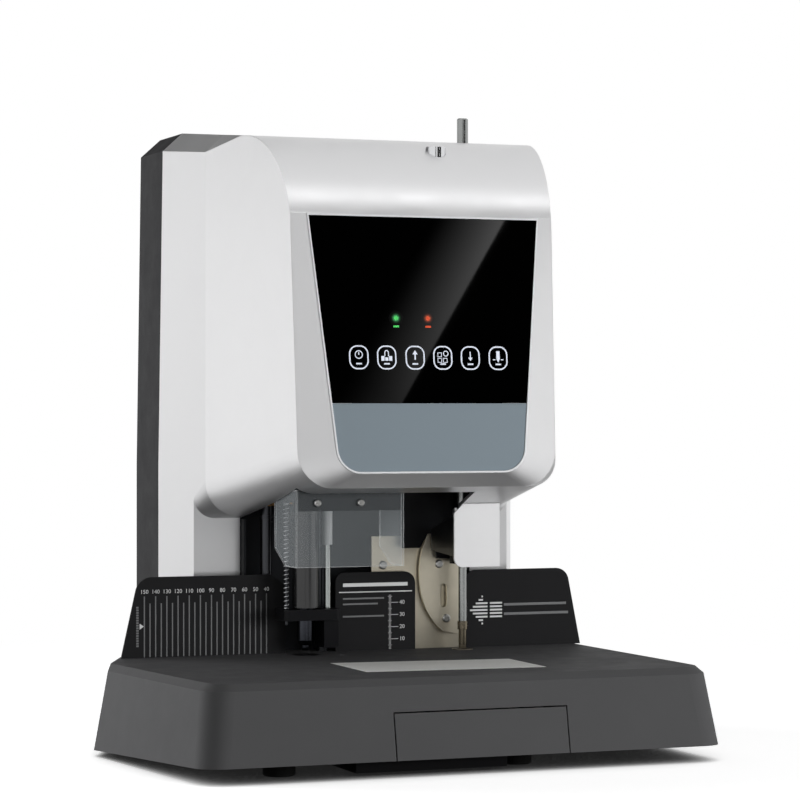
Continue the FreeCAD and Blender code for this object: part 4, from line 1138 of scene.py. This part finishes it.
@dataclass
class DrillHead:
    """The lifting carriage with the drill, its motor, belt and press foot."""

    spring_x: float = -71.7
    spring_y: float = 44.0
    spring_low: float = 112.4
    spring_high: float = 200.6
    spring_radius: float = 2.3
    wire_radius: float = 0.55
    wire_sides: int = 8
    turns: int = 26
    closed_turns: int = 1
    turn_steps: int = 18
    foot_travel: float = 40.0
    rod_x: float = -36.0

    def build(self) -> None:
        """Dress the drill head and wind its spring."""
        dress(("carriage_block",), ANODISED)
        dress(("carriage_bushes",), BRONZE)
        dress(("quill",), QUILL_BLACK)
        dress(("spindle_bearings", "drill_spindle", "drill_bit"), DRILL_STEEL)
        dress(("foot_rod_bush",), GREY_PLASTIC)
        dress(("drill_motor",), MOTOR_BLACK)
        dress(("motor_pulley", "spindle_pulley"), ALLOY)
        dress(("drive_belt",), BELT_RUBBER)
        dress(("press_foot", "drill_pad"), BLACK_PLASTIC)
        self.rods()
        dress(("drill_guide_rods",), DARK_ROD)
        dress(("drill_feed_screw",), TOOL_STEEL)
        self.spring()

    def rods(self) -> None:
        """Dress the foot's rods: the right one bright, the pin in the spring dark."""
        dress(("foot_rods",), ROD_STEEL)
        mesh = bpy.data.objects["foot_rods"].data
        mesh.materials.append(DARK_ROD.material())
        between = place((self.spring_x + self.rod_x) / 2, 0.0, 0.0).x
        for polygon in mesh.polygons:
            polygon.material_index = int(polygon.center.x < between)

    def ring(self, mesh: bmesh.types.BMesh, step: int) -> list[bmesh.types.BMVert]:
        """Add the points round the spring's wire at one step of its winding.

        Args:
            mesh: The mesh to add to.
            step: The step, from the foot up.

        Returns:
            The points.
        """
        low = self.spring_low + self.wire_radius
        high = self.spring_high - self.wire_radius
        turn = 2 * math.pi * step / self.turn_steps
        open_turn = step / self.turn_steps - self.closed_turns
        share = min(1.0, max(0.0, open_turn / (self.turns - 2 * self.closed_turns)))
        out = Vector((math.cos(turn), math.sin(turn), 0.0))
        middle = Vector((self.spring_x, self.spring_y, low + (high - low) * share)) + out * self.spring_radius
        points = []
        for side in range(self.wire_sides):
            a = 2 * math.pi * side / self.wire_sides
            spot = middle + (out * math.cos(a) + Vector((0, 0, math.sin(a)))) * self.wire_radius
            points.append(mesh.verts.new(place(*spot)))
        return points

    def spring(self) -> bpy.types.Object:
        """Wind the coil spring of the press foot, closed at both ends.

        Returns:
            The spring, which rides on the drill carriage.
        """
        mesh = bmesh.new()
        rings = [self.ring(mesh, step) for step in range(self.turns * self.turn_steps + 1)]
        for ring, after in zip(rings, rings[1:]):
            for side in range(self.wire_sides):
                other = (side + 1) % self.wire_sides
                mesh.faces.new((ring[side], ring[other], after[other], after[side]))
        mesh.faces.new(rings[0])
        mesh.faces.new(rings[-1][::-1])
        coil = piece("foot_spring_coil", mesh, SPRING_STEEL, "drill_carriage")
        coil.data.shade_smooth()
        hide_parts("press_spring")
        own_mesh(coil)
        return coil


@dataclass
class RivetPress:
    """The rivet head with its ram, bridge, shroud, plates and tube cutter."""

    def build(self) -> None:
        """Dress the rivet press."""
        dress(("rivet_bridge",), FRAME_DARK_AND_SHADE)
        dress(("ram_bushes",), BRONZE)
        dress(("rivet_guide_rods", "tube_chute"), CHROME)
        dress(("rivet_ram",), RAM_STEEL)
        dress(("rivet_feed_screw",), TOOL_STEEL)
        dress(("rivet_crosshead",), ANODISED)
        dress(("rivet_punch",), PUNCH_BRASS)
        dress(("punch_heater",), BLACK_PLASTIC)
        dress(("rivet_cover",), SHEET_SILVER)
        dress(("inner_shroud",), SHROUD_BLACK_AND_SHADE)
        dress(("rear_plate", "slotted_plate"), NICKEL)
        dress(("rivet_anvil",), ANVIL_STEEL)
        dress(("cutter_housing",), MILLED)
        dress(("cutter_blade",), TOOL_STEEL)


@dataclass
class DrillGuard:
    """The clear sheet in front of the drill."""

    def build(self) -> None:
        """Dress the guard and its bracket."""
        dress(("drill_guard",), GUARD_CLEAR)
        dress(("guard_bracket",), FRAME_DARK_AND_SHADE)


@dataclass
class Electrics:
    """Feed motors, power supply, inlet, switch and fuse holder."""

    def build(self) -> None:
        """Dress the electrical parts."""
        dress(("feed_motors",), MOTOR_BLACK)
        dress(("power_supply",), SUPPLY_SHEET)
        dress(("power_inlet", "switch_frame", "fuse_holder"), BLACK_PLASTIC)
        dress(("switch_rocker",), GLOSS_PLASTIC)


# ------------------------------------------------------------------ studio


FLOOR_SIDES = 96


@dataclass(frozen=True)
class Softbox:
    """A wide lamp that looks at a point over the table and isn't mirrored."""

    name: str
    spot: Spot
    width: float
    height: float
    power: float
    aim: Spot = (0.0, 0.0, 0.25)

    def hang(self) -> bpy.types.Object:
        """Hang the lamp up.

        Returns:
            The lamp.
        """
        lamp = bpy.data.lights.new(self.name, "AREA")
        lamp.shape = "RECTANGLE"
        lamp.size = self.width
        lamp.size_y = self.height
        lamp.energy = self.power
        thing = bpy.data.objects.new(self.name, lamp)
        thing.location = self.spot
        look = Vector(self.aim) - Vector(self.spot)
        thing.rotation_mode = "QUATERNION"
        thing.rotation_quaternion = look.to_track_quat("-Z", "Y")
        thing.visible_glossy = False
        bpy.context.scene.collection.objects.link(thing)
        return thing


@dataclass(frozen=True)
class Card:
    """A flat card that only mirrors see: its origin, its own axes, and its limits along them."""

    name: str
    origin: Vector
    across: Vector
    up: Vector
    reach: Box

    def stand(self, material: bpy.types.Material) -> bpy.types.Object:
        """Stand the card up.

        Args:
            material: What covers it.

        Returns:
            The card.
        """
        mesh = bmesh.new()
        mesh.faces.new([mesh.verts.new((x, y, 0.0)) for x, y in bar(*self.reach)])
        card = into_scene(self.name, mesh, material)
        axes = Matrix((self.across, self.up, self.across.cross(self.up))).transposed().to_4x4()
        card.matrix_world = Matrix.Translation(self.origin) @ axes
        card.visible_camera = False
        card.visible_diffuse = False
        card.visible_shadow = False
        card.visible_transmission = False
        return card


@dataclass
class Studio:
    """Floor, lamps, cards, background and camera.

    Sizes are in metres. The lens and the places of the camera and of the strip's ends are in
    millimetres.
    """

    camera_spot: Spot = (-821.0, -2176.0, 282.0)
    camera_turn: float = -21.2067
    lens: float = 127.53
    lift: float = 0.005
    horizon: float = 0.2
    zenith: float = 0.06
    sky: Flat = (0.1, 0.6)
    floor_radius: float = 9.0
    floor_fade: Flat = (0.45, 1.1)
    mirror_fade: Flat = (0.3, 0.8)
    bounce: float = 0.08
    floor_shade: float = 0.9
    floor_glow: float = 0.76
    contact_glow: float = 0.012
    contact_reach: float = 0.14
    contact_fade: Flat = (0.05, 0.7)
    strip_top: Spot = (767, -1651, 855)
    strip_foot: Spot = (634, -1763, 611)
    strip_facing: Spot = (-0.371, 0.904, -0.213)
    strip_reach: Box = (0.0, 0.09, -0.35, 0.65)
    strip_dim: Flat = (0.0, 0.3)
    strip_rise: Flat = (1.6, 7.0)
    strip_fall: float = 1.8
    flag_gap: float = 0.03
    flag_reach: Box = (-0.6, 0.7, -0.7, 0.95)
    brow_light: float = 2.4
    past_camera: float = 1.3
    boxes: tuple[Softbox, ...] = (
        Softbox("left_softbox", (-2.1, 1.5, 0.3), 1.6, 1.0, 114.0),
        Softbox("right_softbox", (1.8, -2.1, 0.3), 1.6, 1.0, 76.0),
        Softbox("front_softbox", (-1.5, -2.9, 0.4), 1.6, 1.0, 14.0),
    )

    def build(self) -> None:
        """Set up the whole studio."""
        scene = bpy.context.scene
        scene.view_settings.view_transform = "Standard"
        self.world(scene)
        self.floor()
        for softbox in self.boxes:
            softbox.hang()
        self.glass_cards()
        self.sheet_cards()
        self.camera(scene)

    def world(self, scene: bpy.types.Scene) -> None:
        """Light the room more from its sides than from above, with a white background.

        Args:
            scene: The scene that gets the world.
        """
        world = bpy.data.worlds.new("studio_room")
        world.use_nodes = True
        scene.world = world
        nodes = Nodes(world.node_tree)
        where = nodes.add("TexCoord")
        parts = nodes.add("SeparateXYZ")
        fall = nodes.remap(self.sky, (self.horizon, self.zenith))
        room = nodes.add("Background", {"Color": WHITE})
        white = nodes.add("Background", {"Color": WHITE, "Strength": 1.0})
        nodes.join(where, "Generated", parts, 0)
        nodes.join(parts, "Z", fall, 0)
        nodes.join(fall, 0, room, "Strength")
        rays, looked_at = nodes.sight()
        looked_at_or_mirrored = nodes.add("Math", operation="MAXIMUM")
        nodes.join(looked_at, 0, looked_at_or_mirrored, 0)
        nodes.join(rays, "Is Glossy Ray", looked_at_or_mirrored, 1)
        nodes.show(nodes.choose(looked_at_or_mirrored, room, white), "OutputWorld")

    def floor(self) -> bpy.types.Object:
        """Lay the pale floor, which keeps the object's shadow.

        Returns:
            The floor.
        """
        mesh = bmesh.new()
        bmesh.ops.create_circle(mesh, cap_ends=True, segments=FLOOR_SIDES, radius=self.floor_radius)
        floor = into_scene("studio_floor", mesh, self.floor_material())
        return floor

    def floor_material(self) -> bpy.types.Material:
        """Make the floor's material, with a look of its own for the camera, for mirrors and for light.

        Returns:
            The material.
        """
        material, nodes = new_material("pale_floor")
        bounce = nodes.matt(self.bounce)
        seen = self.fade_to_white(nodes, self.shadowed(nodes), self.floor_fade)
        mirrored = self.fade_to_white(nodes, bounce, self.mirror_fade)
        rays, looked_at = nodes.sight()
        unseen = nodes.choose(rays, bounce, mirrored, "Is Glossy Ray")
        nodes.show(nodes.choose(looked_at, unseen, seen))
        return material

    def shadowed(self, nodes: Nodes) -> bpy.types.Node:
        """Add the floor near the object: a glow on matt, which goes out close under the object.

        Args:
            nodes: The layout to add to.

        Returns:
            The shader.
        """
        open_air = nodes.add("AmbientOcclusion", {"Distance": self.contact_reach}, samples=16)
        daylight = nodes.remap(self.contact_fade, (0.0, 1.0))
        both = nodes.add("AddShader")
        nodes.join(open_air, "AO", daylight, 0)
        nodes.join(nodes.matt(self.floor_shade), 0, both, 0)
        nodes.join(nodes.light(self.floor_glow), 0, both, 1)
        return nodes.choose(daylight, nodes.light(self.contact_glow), both)

    def fade_to_white(self, nodes: Nodes, near: bpy.types.Node, reach: Flat) -> bpy.types.Node:
        """Let a shader go over into white with the distance from the floor's middle.

        Args:
            nodes: The layout to add to.
            near: The shader near the middle.
            reach: Where the white begins and where all is white.

        Returns:
            The shader.
        """
        where = nodes.add("TexCoord")
        radius = nodes.add("VectorMath", operation="LENGTH")
        fade = nodes.remap(reach, (0.0, 1.0), interpolation_type="SMOOTHSTEP")
        nodes.join(where, "Object", radius, 0)
        nodes.join(radius, "Value", fade, 0)
        return nodes.choose(fade, near, nodes.light())

    def glass_cards(self) -> None:
        """Stand the light strip that the panel's glass mirrors, before a black flag."""
        foot = place(*self.strip_foot)
        facing = Vector(self.strip_facing).normalized()
        up = (place(*self.strip_top) - foot).normalized()
        side = up.cross(facing).normalized()
        if side.x > 0:
            side = -side
        behind = foot - facing * self.flag_gap
        Card("slanted_light_strip", foot, side, up, self.strip_reach).stand(self.strip_light())
        Card("black_flag", behind, side, up, self.flag_reach).stand(self.cloth("black_cloth", 0.01))

    def sheet_cards(self) -> None:
        """Stand the cards that the brow, the hood's top and the bright rods mirror."""
        right = Vector((1.0, 0.0, 0.0))
        brow = Card(
            "brow_light_card",
            origin=Vector((0.6, -1.7, 2.0)),
            across=right,
            up=Vector((0.0, 0.75, 0.66)),
            reach=(-1.0, 1.0, -0.6, 0.3),
        )
        ceiling = Card(
            "dark_ceiling_card",
            origin=Vector((-0.4, 1.5, 1.7)),
            across=right,
            up=Vector((0.0, 0.7, -0.71)),
            reach=(-2.7, 0.75, -1.0, 1.05),
        )
        line = Card(
            "dark_line_card",
            origin=Vector(self.camera_spot) * MM * self.past_camera,
            across=Vector((0.934, -0.357, 0.0)),
            up=Vector((0.0, 0.0, 1.0)),
            reach=(-0.22, 0.22, -0.8, 0.8),
        )
        brow.stand(self.card_light())
        ceiling.stand(self.cloth("grey_cloth", 0.1))
        line.stand(self.cloth("line_cloth", 0.02))

    def strip_light(self) -> bpy.types.Material:
        """Make the light of the strip: brightest along its right edge and toward its top.

        Returns:
            The material.
        """
        material, nodes = new_material("strip_light")
        where = nodes.add("TexCoord")
        parts = nodes.add("SeparateXYZ")
        fall = nodes.remap((0.0, self.strip_reach[1]), (1.0, 0.0))
        soft = nodes.add("Math", {1: self.strip_fall}, operation="POWER")
        rise = nodes.remap(self.strip_dim, self.strip_rise)
        strength = nodes.add("Math", operation="MULTIPLY")
        light = nodes.light()
        nodes.join(where, "Object", parts, 0)
        nodes.join(parts, "X", fall, 0)
        nodes.join(parts, "Y", rise, 0)
        nodes.join(fall, 0, soft, 0)
        nodes.join(soft, 0, strength, 0)
        nodes.join(rise, 0, strength, 1)
        nodes.join(strength, 0, light, "Strength")
        nodes.show(light)
        return material

    def card_light(self) -> bpy.types.Material:
        """Make the even light of the brow's card.

        Returns:
            The material.
        """
        material, nodes = new_material("card_light")
        nodes.show(nodes.light(self.brow_light))
        return material

    def cloth(self, name: str, shade: float) -> bpy.types.Material:
        """Make the matt cloth of a dark card.

        Args:
            name: The material's name.
            shade: How bright it is, from 0 to 1.

        Returns:
            The material.
        """
        material, nodes = new_material(name)
        nodes.show(nodes.matt(shade))
        return material

    def camera(self, scene: bpy.types.Scene) -> None:
        """Stand the camera at the left in front of the object.

        Args:
            scene: The scene that looks through it.
        """
        data = bpy.data.cameras.new("studio_camera")
        data.lens = self.lens
        data.sensor_width = 36.0
        data.shift_y = self.lift
        data.clip_end = 50.0
        camera = bpy.data.objects.new("studio_camera", data)
        camera.location = Vector(self.camera_spot) * MM
        camera.rotation_euler = (math.radians(90), 0.0, math.radians(self.camera_turn))
        scene.collection.objects.link(camera)
        scene.camera = camera


def main() -> None:
    """Build the object's looks in order."""
    logging.basicConfig(level=logging.INFO, format="%(message)s")
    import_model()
    assemblies = (
        Housing(),
        PaperGuides(),
        OperatingPanel(),
        DrillHead(),
        RivetPress(),
        DrillGuard(),
        Electrics(),
        Studio(),
    )
    for assembly in assemblies:
        LOG.info("building %s", type(assembly).__name__)
        assembly.build()
    bpy.context.view_layer.update()


if __name__ == "__main__":
    main()
